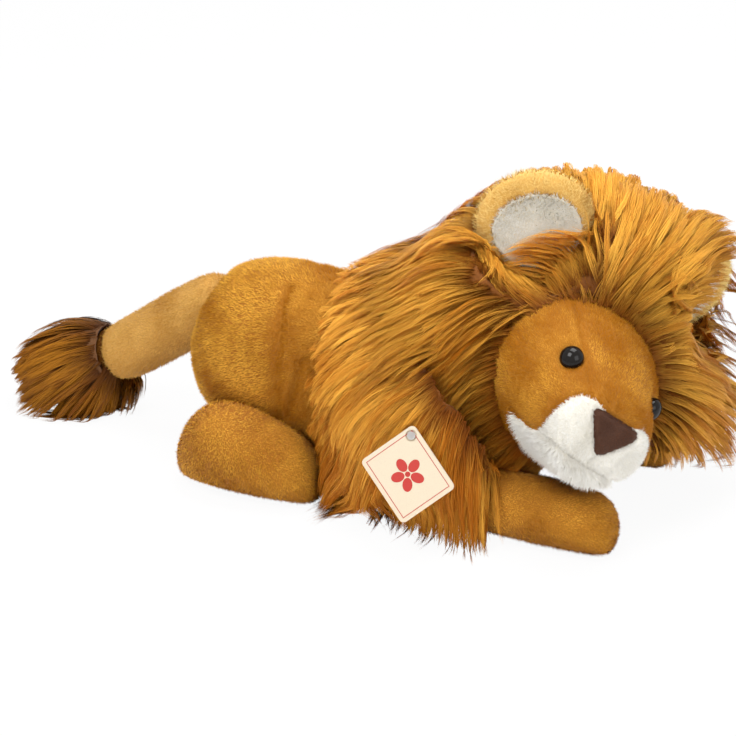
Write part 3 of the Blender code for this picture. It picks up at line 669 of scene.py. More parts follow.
MUZZLE_OUTLINE = ((77, 5), (88, -5), (130, -5), (130, -31), (61, -31.5), (66, -27), (69.5, -19),
                  (71.5, -10), (72, -3), (73.5, 2.5))
CHIN_OUTLINE = ((130, -31), (130, -130), (36, -130), (36, -34), (50, -34.5), (61, -31.5))
NOSE_OUTLINE = ((-18.2, -1.2), (-16.4, -4.6), (-3.4, -20.2), (0, -22.0), (3.4, -20.2), (16.4, -4.6),
                (18.2, -1.2), (17.0, 1.6), (11.4, 2.8), (-11.4, 2.8), (-17.0, 1.6))
GUSSET_SEAM = ((8, -41, 48), (23, -33, 38), (40, -31, 29), (49, -29, 23), (62, -26, 16), (70, -24, 10),
               (81, -17, 0))


def gusset_distance(local):
    return seam_distance(local, (GUSSET_SEAM,))


SNOUT_BEGINS = 50 * MM


def panel_distances(points):
    """The places in the head's frame, and how deep each lies in nose, muzzle and chin."""
    local = to_head(points)
    nose = outline_distance(local[:, [1, 2]], NOSE_OUTLINE)
    nose = np.where(local[:, 0] > SNOUT_BEGINS, nose, -FAR_OFF)
    muzzle = outline_distance(local[:, [0, 2]], MUZZLE_OUTLINE)
    chin = outline_distance(local[:, [0, 2]], CHIN_OUTLINE)
    return local, nose, muzzle, chin


print("head stands at mm:", np.round(HEAD_PLACE * 1000).tolist())

# %% [markdown]
# Puffing moves the panels out, most in their middles. Every seam is a soft
# groove, and so is the dent that the shank of each eye pulls into the cloth.
# A ray from inside the head finds the place of each eye on the face.

# %% Head form with puffed panels and drawn seams
PUFFS = {"muzzle": (2.6 * MM, 9 * MM), "chin": (1.6 * MM, 12 * MM), "nose": (1.2 * MM, 6 * MM)}
EYE_FROM, EYE_AIM = (18, 4, 4), (0.60, 0.70, 0.20)
DENT, DENT_FROM, DENT_OVER = 1.8 * MM, 6 * MM, 4 * MM
head_names = ["head_skin", "muzzle_right", "muzzle_left", "chin", "nose_patch", "head_filling"]
head_form = stuffed_form("head_form", head_names, 2.0 * MM, GOLD_CLOTH, relax=5, blow=False)
points, corners = arrays_of(head_form)
local, nose, muzzle, chin = panel_distances(points)
normals = slopes_of(head_form)
puff = np.zeros(len(points))
for inside, (swell_by, over) in zip((muzzle, chin, nose), PUFFS.values()):
    puff += swell_by * (1 - np.exp(-np.maximum(inside, 0) / over))
seams = np.minimum(np.minimum(np.abs(nose), np.where(nose > 0, FAR_OFF, np.abs(muzzle))), np.abs(chin))
split = np.where((muzzle > 0) & (nose < 0), np.abs(local[:, 1]), FAR_OFF)
brow_seam = gusset_distance(local)
GROOVES = ((seams, 1.5 * MM, 1.5 * MM), (split, 1.4 * MM, 1.6 * MM), (brow_seam, 1.3 * MM, 2.2 * MM))
groove = np.maximum.reduce([deep * np.exp(-(away / wide) ** 2) for away, deep, wide in GROOVES])
form_tree = BVHTree.FromPolygons(points.tolist(), corners.tolist())
eye_places, eye_aims = {}, {}
for hand, side in (("right", -1), ("left", 1)):
    start = HEAD_PLACE + from_head(np.array([EYE_FROM[0], -side * EYE_FROM[1], EYE_FROM[2]]) * MM)
    eye_aims[hand] = unit(from_head(np.array([EYE_AIM[0], side * EYE_AIM[1], EYE_AIM[2]])))
    eye_places[hand] = np.array(form_tree.ray_cast(Vector(start), Vector(eye_aims[hand]))[0])
    near = np.linalg.norm(points - eye_places[hand], axis=1)
    groove = np.maximum(groove, DENT * np.exp(-(np.maximum(near - DENT_FROM, 0) / DENT_OVER) ** 2))
points += normals * (puff - groove)[:, None]
head_form.data.vertices.foreach_set("co", points.ravel())
head_form.data.update()
print("head points:", len(points), "deepest seam mm:", round(float(groove.max()) * 1000, 2))

# %% [markdown]
# Each panel is now cut out of the head form as its own piece, so that it can
# have its own cloth: gold face, white muzzle sides and chin, dark nose.

# %% Face panels
def panel_of(name, chosen, finish):
    """The chosen faces of the head form as a piece of their own."""
    used = corners[chosen]
    kept, inverse = np.unique(used, return_inverse=True)
    return piece_from(name, points[kept], inverse.reshape(-1, 3), finish)


points, corners = arrays_of(head_form)
middles = points[corners].mean(1)
local, nose, muzzle, chin = panel_distances(middles)
is_nose = nose > 0
is_chin = (chin > 0) & ~is_nose
is_muzzle = (muzzle > 0) & ~is_nose & ~is_chin
panels = {
    "nose_cloth": (is_nose, NOSE_CLOTH, "nose_plush", ["nose_patch"]),
    "chin_cloth": (is_chin, WHITE_CLOTH, "white_plush", ["chin"]),
    "muzzle_right_cloth": (is_muzzle & (local[:, 1] < 0), WHITE_CLOTH, "white_plush", ["muzzle_right"]),
    "muzzle_left_cloth": (is_muzzle & (local[:, 1] >= 0), WHITE_CLOTH, "white_plush", ["muzzle_left"]),
    "face_cloth": (~(is_nose | is_chin | is_muzzle), GOLD_CLOTH, "gold_plush", ["head_skin", "head_filling"]),
}
face = {}
for name, (chosen, finish, slot, nodes) in panels.items():
    face[name] = panel_of(name, chosen, finish)
    dress(face[name], "head", nodes)
    print(name, "faces", len(face[name].data.polygons))
bpy.data.objects.remove(head_form)

# %% [markdown]
# An eye of a plush toy is a moulded dome on a stem. The stem goes through the
# cloth and a washer locks it behind. The dome seen here is a finer mesh of
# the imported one, sunk a little into the pile.

# %% Eyes
EYE_RADIUS = 7.4 * MM
EYE_FLATNESS = 0.80
EYE_SUNK = 0.6 * MM
for hand in ("right", "left"):
    shape = bmesh.new()
    bmesh.ops.create_uvsphere(shape, u_segments=48, v_segments=28, radius=1.0)
    bmesh.ops.scale(shape, vec=(EYE_RADIUS, EYE_RADIUS, EYE_RADIUS * EYE_FLATNESS), verts=shape.verts)
    mesh = bpy.data.meshes.new("eye_dome_" + hand)
    shape.to_mesh(mesh)
    shape.free()
    eye = place_in_scene("eye_dome_" + hand, mesh)
    mesh.materials.append(EYE_GLOSS)
    mesh.shade_smooth()
    aim_at = Vector(eye_aims[hand])
    turn = aim_at.to_track_quat("Z", "Y").to_matrix().to_4x4()
    mesh.transform(Matrix.Translation(Vector(eye_places[hand]) - aim_at * EYE_SUNK) @ turn)
    dress(eye, "head", ["eye_" + hand])
    print("eye", hand, "at mm", np.round(eye_places[hand] * 1000).tolist())

# %% [markdown]
# Each ear is a gold pad with a hollow face, and a white lining sewn into the
# hollow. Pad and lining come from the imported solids, remeshed and rounded.

# %% Ears
ears = {}
for hand in ("right", "left"):
    pad = stuffed_form("ear_pad_" + hand, ["ear_" + hand], 1.8 * MM, EAR_CLOTH, relax=5, blow=False)
    lining = stuffed_form("ear_inside_" + hand, ["ear_lining_" + hand], 0.9 * MM, WHITE_CLOTH, relax=2,
                          subdivide=0, blow=False)
    dress(pad, "ear_" + hand, ["ear_" + hand])
    dress(lining, "ear_" + hand, ["ear_lining_" + hand])
    ears[hand] = (pad, lining)

# %% [markdown]
# The mane and the tail's tuft are panels of long pile. Under the hair there is
# a dark backing cloth, which only shows where the locks part. The mane's backing
# is its own dark reddish brown made darker still as painted shade, so that the
# partings read as shadow.

# %% Backing of the long pile
def backing(name, node, body, finish, voxel, relax, shrink):
    """The matted base of long pile, drawn in a little so that only strands stand proud."""
    made = stuffed_form(name, [node], voxel, finish, relax, shrink, subdivide=0, blow=False)
    return dress(made, body, [node])


hood = backing("hood_backing", "mane_hood", "head", MANE_CLOTH_AND_SHADE, 3.0 * MM, 4, 0.8 * MM)
cape = backing("cape_backing", "mane_cape", "torso", MANE_CLOTH_AND_SHADE, 3.0 * MM, 4, 0.8 * MM)
tuft = backing("tuft_backing", "tail_tuft", "tail", TUFT_CLOTH, 2.5 * MM, 5, 3.0 * MM)

# %% [markdown]
# Plush is woven with thousands of fibres that stand out of the backing. Here
# each short fibre is one thin leaf of mesh with its root in the cloth. Two
# numbers ride in its UV map: its tone, and how far along the fibre a point is.
# The leaves take the cloth's own slope for shading, so they look soft.

# %% Strand builder
def sines(points, wavelength, seed):
    """Soft patches over space, about -1 to 1: a sum of waves in random directions."""
    draw = np.random.default_rng(seed)
    total = np.zeros(len(points))
    for _ in range(7):
        way = unit(draw.normal(size=3)) * (2 * math.pi / wavelength) * draw.uniform(0.7, 1.4)
        total += np.sin(points @ way + draw.uniform(0, 2 * math.pi))
    return total / 3.2


def strand_piece(name, lines, outward, widths, tones, finish, roundness):
    """Leaves along lines (strand, step, xyz), each ending in one tip point."""
    count, steps, _ = lines.shape
    along = np.gradient(lines, axis=1) if steps > 2 else np.repeat(lines[:, 1:] - lines[:, :1], 2, axis=1)
    side = unit(np.cross(along, outward))
    half = widths[:, :, None] / 2
    left = lines - side * half
    right = lines + side * half
    rows = steps - 1
    per = 2 * rows + 1
    points = np.empty((count, per, 3))
    points[:, 0:2 * rows:2] = left[:, :rows]
    points[:, 1:2 * rows:2] = right[:, :rows]
    points[:, -1] = lines[:, -1]
    slopes = np.empty((count, per, 3))
    slopes[:, 0:2 * rows:2] = unit(outward - side * roundness)[:, :rows]
    slopes[:, 1:2 * rows:2] = unit(outward + side * roundness)[:, :rows]
    slopes[:, -1] = outward[:, -1]
    rise = np.empty((count, per))
    share = np.linspace(0, 1, steps)
    rise[:, 0:2 * rows:2] = share[:rows]
    rise[:, 1:2 * rows:2] = share[:rows]
    rise[:, -1] = 1.0
    base = (np.arange(count) * per)[:, None]
    each = 4 * (rows - 1) + 3
    pattern, sizes = [], []
    for row in range(rows - 1):
        pattern += [2 * row, 2 * row + 1, 2 * row + 3, 2 * row + 2]
        sizes.append(4)
    pattern += [2 * rows - 2, 2 * rows - 1, 2 * rows]
    sizes.append(3)
    loops = (base + np.array(pattern)[None, :]).ravel().astype(np.int32)
    first = np.concatenate([[0], np.cumsum(sizes)[:-1]])
    starts = (np.arange(count)[:, None] * each + first[None, :]).ravel().astype(np.int32)
    totals = np.tile(sizes, count).astype(np.int32)
    mesh = bpy.data.meshes.new(name)
    mesh.vertices.add(count * per)
    mesh.vertices.foreach_set("co", points.ravel())
    mesh.loops.add(len(loops))
    mesh.loops.foreach_set("vertex_index", loops)
    mesh.polygons.add(len(starts))
    mesh.polygons.foreach_set("loop_start", starts)
    mesh.polygons.foreach_set("loop_total", totals)
    mesh.update(calc_edges=True)
    paint = mesh.uv_layers.new(name="OFBake")
    flat = np.empty((len(loops), 2))
    flat[:, 0] = np.repeat(np.clip(tones, 0.01, 0.99), each)
    flat[:, 1] = rise.ravel()[loops] * 0.98 + 0.01
    paint.data.foreach_set("uv", flat.ravel())
    mesh.polygons.foreach_set("use_smooth", np.ones(len(starts), bool))
    mesh.normals_split_custom_set_from_vertices(unit(slopes).reshape(-1, 3).tolist())
    mesh.materials.append(finish)
    return place_in_scene(name, mesh)


print("strand builder ready")

# %% [markdown]
# Roots are spread by chance but evenly by area, and always the same way, as
# the chance is seeded. Each root takes the slope of the cloth below it.

# %% Roots on a cloth
def roots_on(piece, per_square_mm, seed, keep=None):
    """Random places on a cloth, evenly by area, with the cloth's slope there."""
    points, corners = arrays_of(piece)
    slopes = slopes_of(piece)
    a, b, c = points[corners[:, 0]], points[corners[:, 1]], points[corners[:, 2]]
    areas = np.linalg.norm(np.cross(b - a, c - a), axis=1) / 2
    draw = np.random.default_rng(seed)
    count = int(areas.sum() * 1e6 * per_square_mm)
    chosen = draw.choice(len(corners), count, p=areas / areas.sum())
    u, v = draw.random(count), draw.random(count)
    over = u + v > 1
    u[over], v[over] = 1 - u[over], 1 - v[over]
    w = 1 - u - v
    shares = np.stack([w, u, v], 1)[:, :, None]
    places = (points[corners[chosen]] * shares).sum(1)
    normals = unit((slopes[corners[chosen]] * shares).sum(1))
    if keep is not None:
        good = keep(places, normals)
        places, normals = places[good], normals[good]
    return places, normals


print("roots can now be spread")

# %% [markdown]
# Short pile leans over along the way in which it was combed, and the lean
# drifts from patch to patch, which gives plush its brushed look. A stitched
# seam is a valley between fibres, and the shade in it is painted: the pile's
# tone is darker beside it.

# %% How short pile is laid
# Painted shade in seams: how much darker the tone gets, and over what width.
SEAM_SHADE, SEAM_SHADE_WIDTH = 0.80, 3.2 * MM


def short_pile(name, piece, body, finish, per_square_mm, length, width, comb, lean, seed,
               keep=None, tone=0.5, patches=0.25, patch_size=45 * MM, seams=None):
    """Short fibres on a piece, combed along a direction and laid over by an angle."""
    places, normals = roots_on(piece, per_square_mm, seed, keep)
    draw = np.random.default_rng(seed + 1)
    count = len(places)
    way = comb(places) if callable(comb) else np.broadcast_to(np.array(comb, float), places.shape)
    way = way + draw.normal(scale=0.45, size=places.shape)
    way = unit(way - (way * normals).sum(1, keepdims=True) * normals)
    brushed = sines(places, patch_size, seed + 2)
    angle = np.radians(lean) + 0.16 * brushed + draw.normal(scale=0.16, size=count)
    angle = np.clip(angle, 0.15, 1.35)[:, None]
    aim = normals * np.cos(angle) + way * np.sin(angle)
    reach = length * draw.uniform(0.65, 1.15, count)[:, None]
    tips = places + aim * reach
    tips[:, 2] = np.maximum(tips[:, 2], 0.25 * MM)
    lines = np.stack([places - normals * 0.4 * MM, tips], 1)
    lines[:, 0, 2] = np.maximum(lines[:, 0, 2], 0.1 * MM)
    outward = unit(normals * 0.85 + aim * 0.15 + draw.normal(scale=0.10, size=places.shape))
    outward = np.repeat(outward[:, None], 2, axis=1)
    widths = np.full((count, 2), width) * draw.uniform(0.75, 1.25, count)[:, None]
    tones = (tone(places) if callable(tone) else tone) + patches * brushed
    tones = tones + 0.4 * patches * sines(places, patch_size * 0.3, seed + 3)
    tones += draw.normal(scale=0.13, size=count)
    # Painted shade: fibres beside a seam are darker, as the seam's valley is shaded.
    if seams is not None:
        tones -= SEAM_SHADE * np.exp(-(seams(places) / SEAM_SHADE_WIDTH) ** 2)
    dress(strand_piece(name, lines, outward, widths, tones, finish, 0.25), body)
    print(name, "fibres", count)


print("short pile is ready to be laid")

# %% [markdown]
# Some places carry no pile: under the eyes, on the ground, and where the mane
# covers the body. A root asks with a ray whether a cover lies above it.

# %% Places that carry no pile
COVER_REACH = 60 * MM


def clear_of_eyes(places, normals):
    good = np.ones(len(places), bool)
    for spot in eye_places.values():
        good &= np.linalg.norm(places - spot, axis=1) > EYE_RADIUS + 0.2 * MM
    return good


def outside_of(trees, reach):
    """A test for places with free space before them: no other form within reach."""
    def test(places, normals):
        good = np.ones(len(places), bool)
        for index, (place, normal) in enumerate(zip(places, normals)):
            start = Vector(place + normal * 0.8 * MM)
            for tree in trees:
                if tree.ray_cast(start, Vector(normal), reach)[0] is not None:
                    good[index] = False
                    break
        return good
    return test


open_test = outside_of([tree_of(hood), tree_of(cape)], COVER_REACH)


def above_floor(places, normals):
    return places[:, 2] > 0.3 * MM


def body_keep(places, normals):
    """Above the floor and not below the mane."""
    good = above_floor(places, normals)
    index = np.nonzero(good)[0]
    good[index] = open_test(places[index], normals[index])
    return good


print("the mane's cover is looked for within mm:", round(COVER_REACH / MM))

# %% [markdown]
# The body's pile is about 3 mm long and combed from head to tail, as a coat
# is cut so that a hand strokes it flat. Legs are combed to the paws. The coat
# is paler towards the rear end, as a painted highlight on its lit rim, and the
# seams show as darker lines of painted shade in it.

# %% Gold pile of body, legs, tail and ears
THIN = 1.0
# Painted highlight: where the coat's rim starts to turn paler, over what distance, and by how much tone.
HIGHLIGHT_FROM, HIGHLIGHT_OVER, HIGHLIGHT_BY = -100 * MM, 32 * MM, 0.38


def painted_highlight_behind(base):
    """A painted highlight: the coat turns paler towards the lion's rear end, where its rim catches the light.
    """
    return lambda places: base + HIGHLIGHT_BY * np.clip((HIGHLIGHT_FROM - places[:, 0]) / HIGHLIGHT_OVER, 0, 1)


def from_head_place(places):
    return unit(places - HEAD_PLACE)


short_pile("torso_pile", torso, "torso", GOLD_PILE, 1.5 * THIN, 3.2 * MM, 0.55 * MM,
           (-1.0, 0.0, -0.35), 56, 11, body_keep, tone=painted_highlight_behind(0.42), patches=0.46,
           seams=lambda places: seam_distance(places, BODY_SEAMS))
for number, (leg, bag) in enumerate(legs.items()):
    comb = (0.5, 0.0, -0.6) if leg.startswith("hind") else (1.0, 0.0, -0.3)
    short_pile(leg + "_pile", bag, leg, GOLD_PILE, 1.5 * THIN, 2.8 * MM, 0.55 * MM,
               comb, 58, 21 + number * 5, above_floor, tone=painted_highlight_behind(0.46), patches=0.36)
short_pile("tail_pile", tail, "tail", PALE_PILE, 1.5 * THIN, 2.8 * MM, 0.55 * MM,
           (-1.0, 0.0, -0.6), 62, 51, above_floor, tone=0.42, patches=0.22)
for number, hand in enumerate(("right", "left")):
    pad, lining = ears[hand]
    short_pile("ear_pile_" + hand, pad, "ear_" + hand, EAR_PILE, 1.6 * THIN, 4.0 * MM, 0.5 * MM,
               from_head_place, 42, 61 + number * 5, tone=0.90, patches=0.12)
    short_pile("ear_inside_pile_" + hand, lining, "ear_" + hand, WHITE_PILE, 1.6 * THIN,
               4.0 * MM, 0.5 * MM, from_head_place, 50, 71 + number * 5, patches=0.2)

# %% [markdown]
# On the face the pile runs back from the nose. It is shorter there, and the
# chin's is longer and fluffier. The nose is a clipped, very fine dark pile.

# %% Pile of the face panels
NOSE_TIP = HEAD_PLACE + from_head(np.array([84, 0, -6]) * MM)


def from_nose(places):
    return unit(places - NOSE_TIP)


short_pile("face_pile", face["face_cloth"], "head", GOLD_PILE, 1.9 * THIN, 2.8 * MM, 0.5 * MM,
           from_nose, 60, 81, clear_of_eyes, tone=0.20, patches=0.36, patch_size=26 * MM,
           seams=lambda places: gusset_distance(to_head(places)))
for number, hand in enumerate(("right", "left")):
    short_pile("muzzle_%s_pile" % hand, face["muzzle_%s_cloth" % hand], "head", WHITE_PILE,
               2.2 * THIN, 2.8 * MM, 0.5 * MM, from_nose, 55, 91 + number * 5,
               patches=0.15, patch_size=20 * MM)
short_pile("chin_pile", face["chin_cloth"], "head", WHITE_PILE, 2.0 * THIN, 6.0 * MM,
           0.55 * MM, lambda places: from_nose(places) * 0.8 + np.array([0, 0, -0.6]), 52, 101,
           patches=0.2, patch_size=14 * MM)
short_pile("nose_pile", face["nose_cloth"], "head", NOSE_PILE, 3.0 * THIN, 1.5 * MM, 0.35 * MM,
           from_nose, 45, 111, patches=0.2, patch_size=12 * MM)

# %% [markdown]
# The mane is pile as long as a finger. Hair can't lie inside the body, and it
# rests on it rather than standing off. So a place on a hair is pushed out of
# every form, drawn in when it stands too high, and bent back softly where it
# would leave the room that the toy may take.

# %% Room for the hair
forms_tree = tree_of(hood, cape, torso, ears["right"][0], ears["left"][0], *legs.values(), *face.values())
ear_tree = tree_of(ears["right"][0], ears["left"][0])
BOX_LOW, BOX_HIGH = np.array(cad_box[0]), np.array(cad_box[1])
ROOM_LOW = BOX_LOW - (BOX_HIGH - BOX_LOW) * 0.03 - 8 * MM
ROOM_HIGH = BOX_HIGH + (BOX_HIGH - BOX_LOW) * 0.03 + 8 * MM
ROOM_EDGE = 9 * MM
HAIR_STEPS = 8
PUSH_REACH = 30 * MM


def push_out(spots, tree, lift, reach):
    """Moves places out to at least a lift from a form's surface. Lift is one length per place."""
    moved = spots.copy()
    for index, spot in enumerate(spots):
        near, normal, _, _ = tree.find_nearest(Vector(spot), reach)
        if near is None:
            continue
        height = (Vector(spot) - near).dot(normal)
        if height < lift[index]:
            moved[index] = np.array(near + normal * lift[index])
    return moved


def within_room(spots):
    """Bends places softly back into the room that the hair may fill."""
    for axis in range(3):
        over = np.maximum(spots[:, axis] - (ROOM_HIGH[axis] - ROOM_EDGE), 0)
        spots[:, axis] -= over - ROOM_EDGE * (1 - np.exp(-over / ROOM_EDGE))
        under = np.maximum(ROOM_LOW[axis] + ROOM_EDGE - spots[:, axis], 0)
        spots[:, axis] += (under - ROOM_EDGE * (1 - np.exp(-under / ROOM_EDGE))) * (axis < 2)
    return spots


def draw_in(spots, tree, layer):
    """Brings places that stand higher than the layer half of the way back to it."""
    moved = spots.copy()
    for index, spot in enumerate(spots):
        near, _, _, far = tree.find_nearest(Vector(spot))
        gap = Vector(spot) - near
        if far > layer[index] and gap.z > -0.35 * far:
            moved[index] = np.array(near + gap * (0.5 + 0.5 * layer[index] / far))
    return moved


print("room for hair, low and high mm:", np.round(ROOM_LOW / MM).tolist(), np.round(ROOM_HIGH / MM).tolist())

# %% [markdown]
# Long pile doesn't lie as single hairs but in locks: neighbours cling together
# and end in one point. So the lock is the unit here. Each lock has a guide
# line, which grows out of the backing, is combed and falls under its weight.

# %% How a guide line grows
def grow_guides(roots, normals, comb, lengths, rise, fall, seed, trees, sweep=0.12):
    """Guide lines: they leave along the slope, turn into the combed way and fall."""
    draw = np.random.default_rng(seed)
    count = len(roots)
    lines = np.empty((count, HAIR_STEPS, 3))
    lines[:, 0] = roots
    way = comb(roots, normals)
    way = unit(way + draw.normal(scale=0.16, size=way.shape))
    heading = unit(normals * rise + way)
    step = (lengths / (HAIR_STEPS - 1))[:, None]
    lift_top = draw.uniform(1.5, 10.0, count) * MM
    wave = unit(np.cross(way, normals)) * draw.normal(scale=sweep, size=(count, 1))
    for number in range(1, HAIR_STEPS):
        share = number / (HAIR_STEPS - 1)
        way = unit(comb(lines[:, number - 1], normals) + wave * math.cos(share * 3.0))
        heading = unit(heading * 0.55 + way * 0.45 + np.array([0, 0, -fall * share]))
        spots = lines[:, number - 1] + heading * step
        lift = lift_top * min(1.0, share * 2.0)
        for tree, extra in trees:
            spots = push_out(spots, tree, lift + extra, PUSH_REACH)
        spots = draw_in(spots, trees[0][0], lift_top + 5 * MM)
        spots[:, 2] = np.maximum(spots[:, 2], 1.0 * MM)
        spots = within_room(spots)
        heading = unit(spots - lines[:, number - 1])
        lines[:, number] = spots
    return lines


def hair_outward(lines, centre_line):
    """The side that faces away from the body, for every point of the lines."""
    return unit(lines - centre_line(lines))


print("a guide has steps:", HAIR_STEPS)

# %% [markdown]
# A lock is a bundle of strands that follow one guide. At the root they stand
# apart, and at the end they meet. Their lengths differ, so no lock is cut off
# square.

# %% How a lock is made
def lock_piece(name, guides, outward, per_lock, root_spread, tip_spread, width, tones, seed,
               body, finish):
    """Strands round each guide, closing in to a point at its end."""
    draw = np.random.default_rng(seed)
    count, steps, _ = guides.shape
    along = unit(np.gradient(guides, axis=1))
    side = unit(np.cross(along, outward))
    share = np.linspace(0, 1, steps)[None, None, :]
    turn = draw.uniform(0, 2 * math.pi, (count, per_lock, 1))
    out = np.sqrt(draw.uniform(0, 1, (count, per_lock, 1)))
    close = (1 - share) ** 1.3 * root_spread + share ** 1.0 * tip_spread
    swing = turn + draw.normal(scale=0.5, size=(count, per_lock, 1)) * share
    aside = out * close * np.cos(swing)
    above = out * close * np.sin(swing) * 0.45
    ripple = draw.normal(scale=0.5 * MM, size=(count, per_lock, 1)) * np.sin(share * math.pi * 2 + turn)
    reach = draw.uniform(0.62, 1.0, (count, per_lock, 1))
    at = share * reach * (steps - 1)
    low = np.clip(at.astype(int), 0, steps - 2)
    part = (at - low)[..., None]
    rows = np.arange(count)[:, None, None]
    spine = guides[rows, low] * (1 - part) + guides[rows, low + 1] * part
    sides = side[rows, low] * (1 - part) + side[rows, low + 1] * part
    outs = outward[rows, low] * (1 - part) + outward[rows, low + 1] * part
    lines = spine + sides * (aside + ripple)[..., None] + outs * above[..., None]
    lines[..., 2] = np.maximum(lines[..., 2], 0.4 * MM)
    lines = np.clip(lines, ROOM_LOW - 1 * MM, ROOM_HIGH + 1 * MM)
    total = count * per_lock
    thick = width * draw.uniform(0.7, 1.3, (count, per_lock, 1)) * (1.0 - 0.55 * share ** 2)
    # Painted light and shade: strands at a lock's outside are a little lighter, and those in its core a
    # little darker.
    toned = tones[:, None] + draw.normal(scale=0.13, size=(count, per_lock)) + 0.10 * (out[..., 0] - 0.5)
    made = strand_piece(name, lines.reshape(total, steps, 3), unit(outs).reshape(total, steps, 3),
                        thick.reshape(total, steps), toned.ravel(), finish, 0.6)
    dress(made, body)
    print(name, "locks", count, "strands", total, "faces", len(made.data.polygons))


def split_locks(name, guides, outward, tones, parts, per_lock, root_spread, tip_spread, width, seed,
                body, finish):
    """Several pieces with every so-manieth lock, so that no mesh grows too large."""
    order = np.arange(len(guides)) % parts
    for part in range(parts):
        chosen = order == part
        lock_piece("%s_%d" % (name, part + 1), guides[chosen], outward[chosen], per_lock, root_spread,
                   tip_spread, width, tones[chosen], seed + part, body, finish)


print("lock builder ready")

# %% [markdown]
# The mane isn't equally thick. Where its panels meet, at the hairline, at the
# hem and under the ears it needs more roots, or bare cloth shows. Each such
# place is a test in space, mostly by the distance to the hood's front edge.

# %% Places with more roots
def open_roots(piece, per_square_mm, seed, blockers, reach, keep=None):
    places, normals = roots_on(piece, per_square_mm, seed, keep)
    good = outside_of(blockers, reach)(places, normals)
    return places[good], normals[good]


hood_tree, cape_tree, torso_tree = tree_of(hood), tree_of(cape), tree_of(torso)
head_tree = tree_of(*face.values())
FRONT_SLOPE = math.tan(math.radians(14))
FRONT_EDGE = 22 * MM
BLOCK_REACH = 9 * MM


def before_hood(places):
    """How far in front of the hood's front edge a place lies, in the head's frame."""
    local = to_head(places)
    return local[:, 0] - FRONT_EDGE - local[:, 1] * FRONT_SLOPE


def near_front(places, normals):
    return before_hood(places) > -9 * MM


def on_hairline(places, normals):
    """A narrow band of the face beside the hood, wider along the cheek."""
    local = to_head(places)
    cheek = np.clip(-local[:, 2] / (25 * MM), 0, 1) * (local[:, 1] < 0)
    ahead = before_hood(places)
    return (ahead > -1 * MM) & (ahead < (4 + 8 * cheek) * MM) & (places[:, 2] > 50 * MM)


def near_hem(places, normals):
    return places[:, 2] < 66 * MM


def at_far_ear(places, normals):
    local = to_head(places)
    return (local[:, 1] > 4 * MM) & (local[:, 2] > 38 * MM) & (before_hood(places) > -30 * MM)


def at_hood_edge(places, normals):
    """The cape's front band, which the hood's hair leaves free on both sides."""
    return (places[:, 0] > -22 * MM) & (places[:, 2] > 60 * MM)


def at_hood_rim(places, normals):
    """The hood's rear band, where it meets the cape on the near side."""
    return (before_hood(places) < -14 * MM) & (places[:, 1] < -20 * MM) & (places[:, 2] > 60 * MM)


def at_near_end(places, normals):
    """The hood's outermost edge above the near shoulder."""
    local = to_head(places)
    return (local[:, 1] < -50 * MM) & (before_hood(places) > -16 * MM)


def below_near_ear(places, normals):
    ear_middle = np.mean(arrays_of(ears["right"][0])[0], axis=0)
    return (np.linalg.norm(places - ear_middle, axis=1) < 46 * MM) & (before_hood(places) > -16 * MM)


def on_near_chest(places, normals):
    return (places[:, 0] > 4 * MM) & (places[:, 1] < -60 * MM) & (places[:, 2] > 50 * MM)


print("slope of the hood's front edge in degrees:", round(math.degrees(math.atan(FRONT_SLOPE))))

# %% [markdown]
# Each set of roots has its piece, its roots per square millimetre, its seed,
# the test for the places that it keeps, and the forms that must not lie over
# a root. The sets overlap, so the hair grows denser step by step.

# %% Roots of the mane
blockers = [hood_tree, cape_tree, head_tree, torso_tree]
ROOT_SETS = {"rim": (hood, 0.060, 208, at_hood_rim, [head_tree]),
             "chest": (cape, 0.110, 209, on_near_chest, []),
             "end": (hood, 0.100, 211, at_near_end, []),
             "ear": (hood, 0.080, 212, below_near_ear, [head_tree]),
             "hood": (hood, 0.030, 201, None, blockers + [ear_tree]),
             "front": (hood, 0.045, 204, near_front, blockers),
             "hairline": (face["face_cloth"], 0.10, 205, on_hairline, [head_tree]),
             "fringe": (hood, 0.090, 206, at_far_ear, blockers),
             "edge": (cape, 0.050, 207, at_hood_edge, blockers),
             "cape": (cape, 0.026, 202, None, blockers),
             "hem": (cape, 0.030, 203, near_hem, blockers)}
HOOD_ORDER = ("hood", "front", "hairline", "fringe", "rim", "end", "ear")
CAPE_ORDER = ("cape", "edge", "hem", "chest")
roots = {}
for name, (piece, per_square_mm, seed, keep, nearby) in ROOT_SETS.items():
    roots[name] = open_roots(piece, per_square_mm, seed, nearby, BLOCK_REACH, keep)
    print("lock roots", name, len(roots[name][0]))


def gather(order):
    """The roots and slopes of several sets, one after the other."""
    return [np.concatenate(lists) for lists in zip(*(roots[name] for name in order))]


hood_roots, hood_normals = gather(HOOD_ORDER)
cape_roots, cape_normals = gather(CAPE_ORDER)

# %% [markdown]
# The hood's locks run away from the middle of the face, and
# the cape's run back and down. Near the ground they turn outwards and spread
# on it. No lock of the cape reaches past a line across the back, because the
# coat behind it is short.

# %% How the mane is combed
FACE_AXIS = from_head(np.array([[1.0, 0, 0]]))[0]


def far_cheek(local):
    """How much a place lies at the hidden lower side of the face, 0 to 1."""
    return np.clip(local[:, 1] / (18 * MM), 0, 1) * np.clip((18 * MM - local[:, 2]) / (26 * MM), 0, 1)


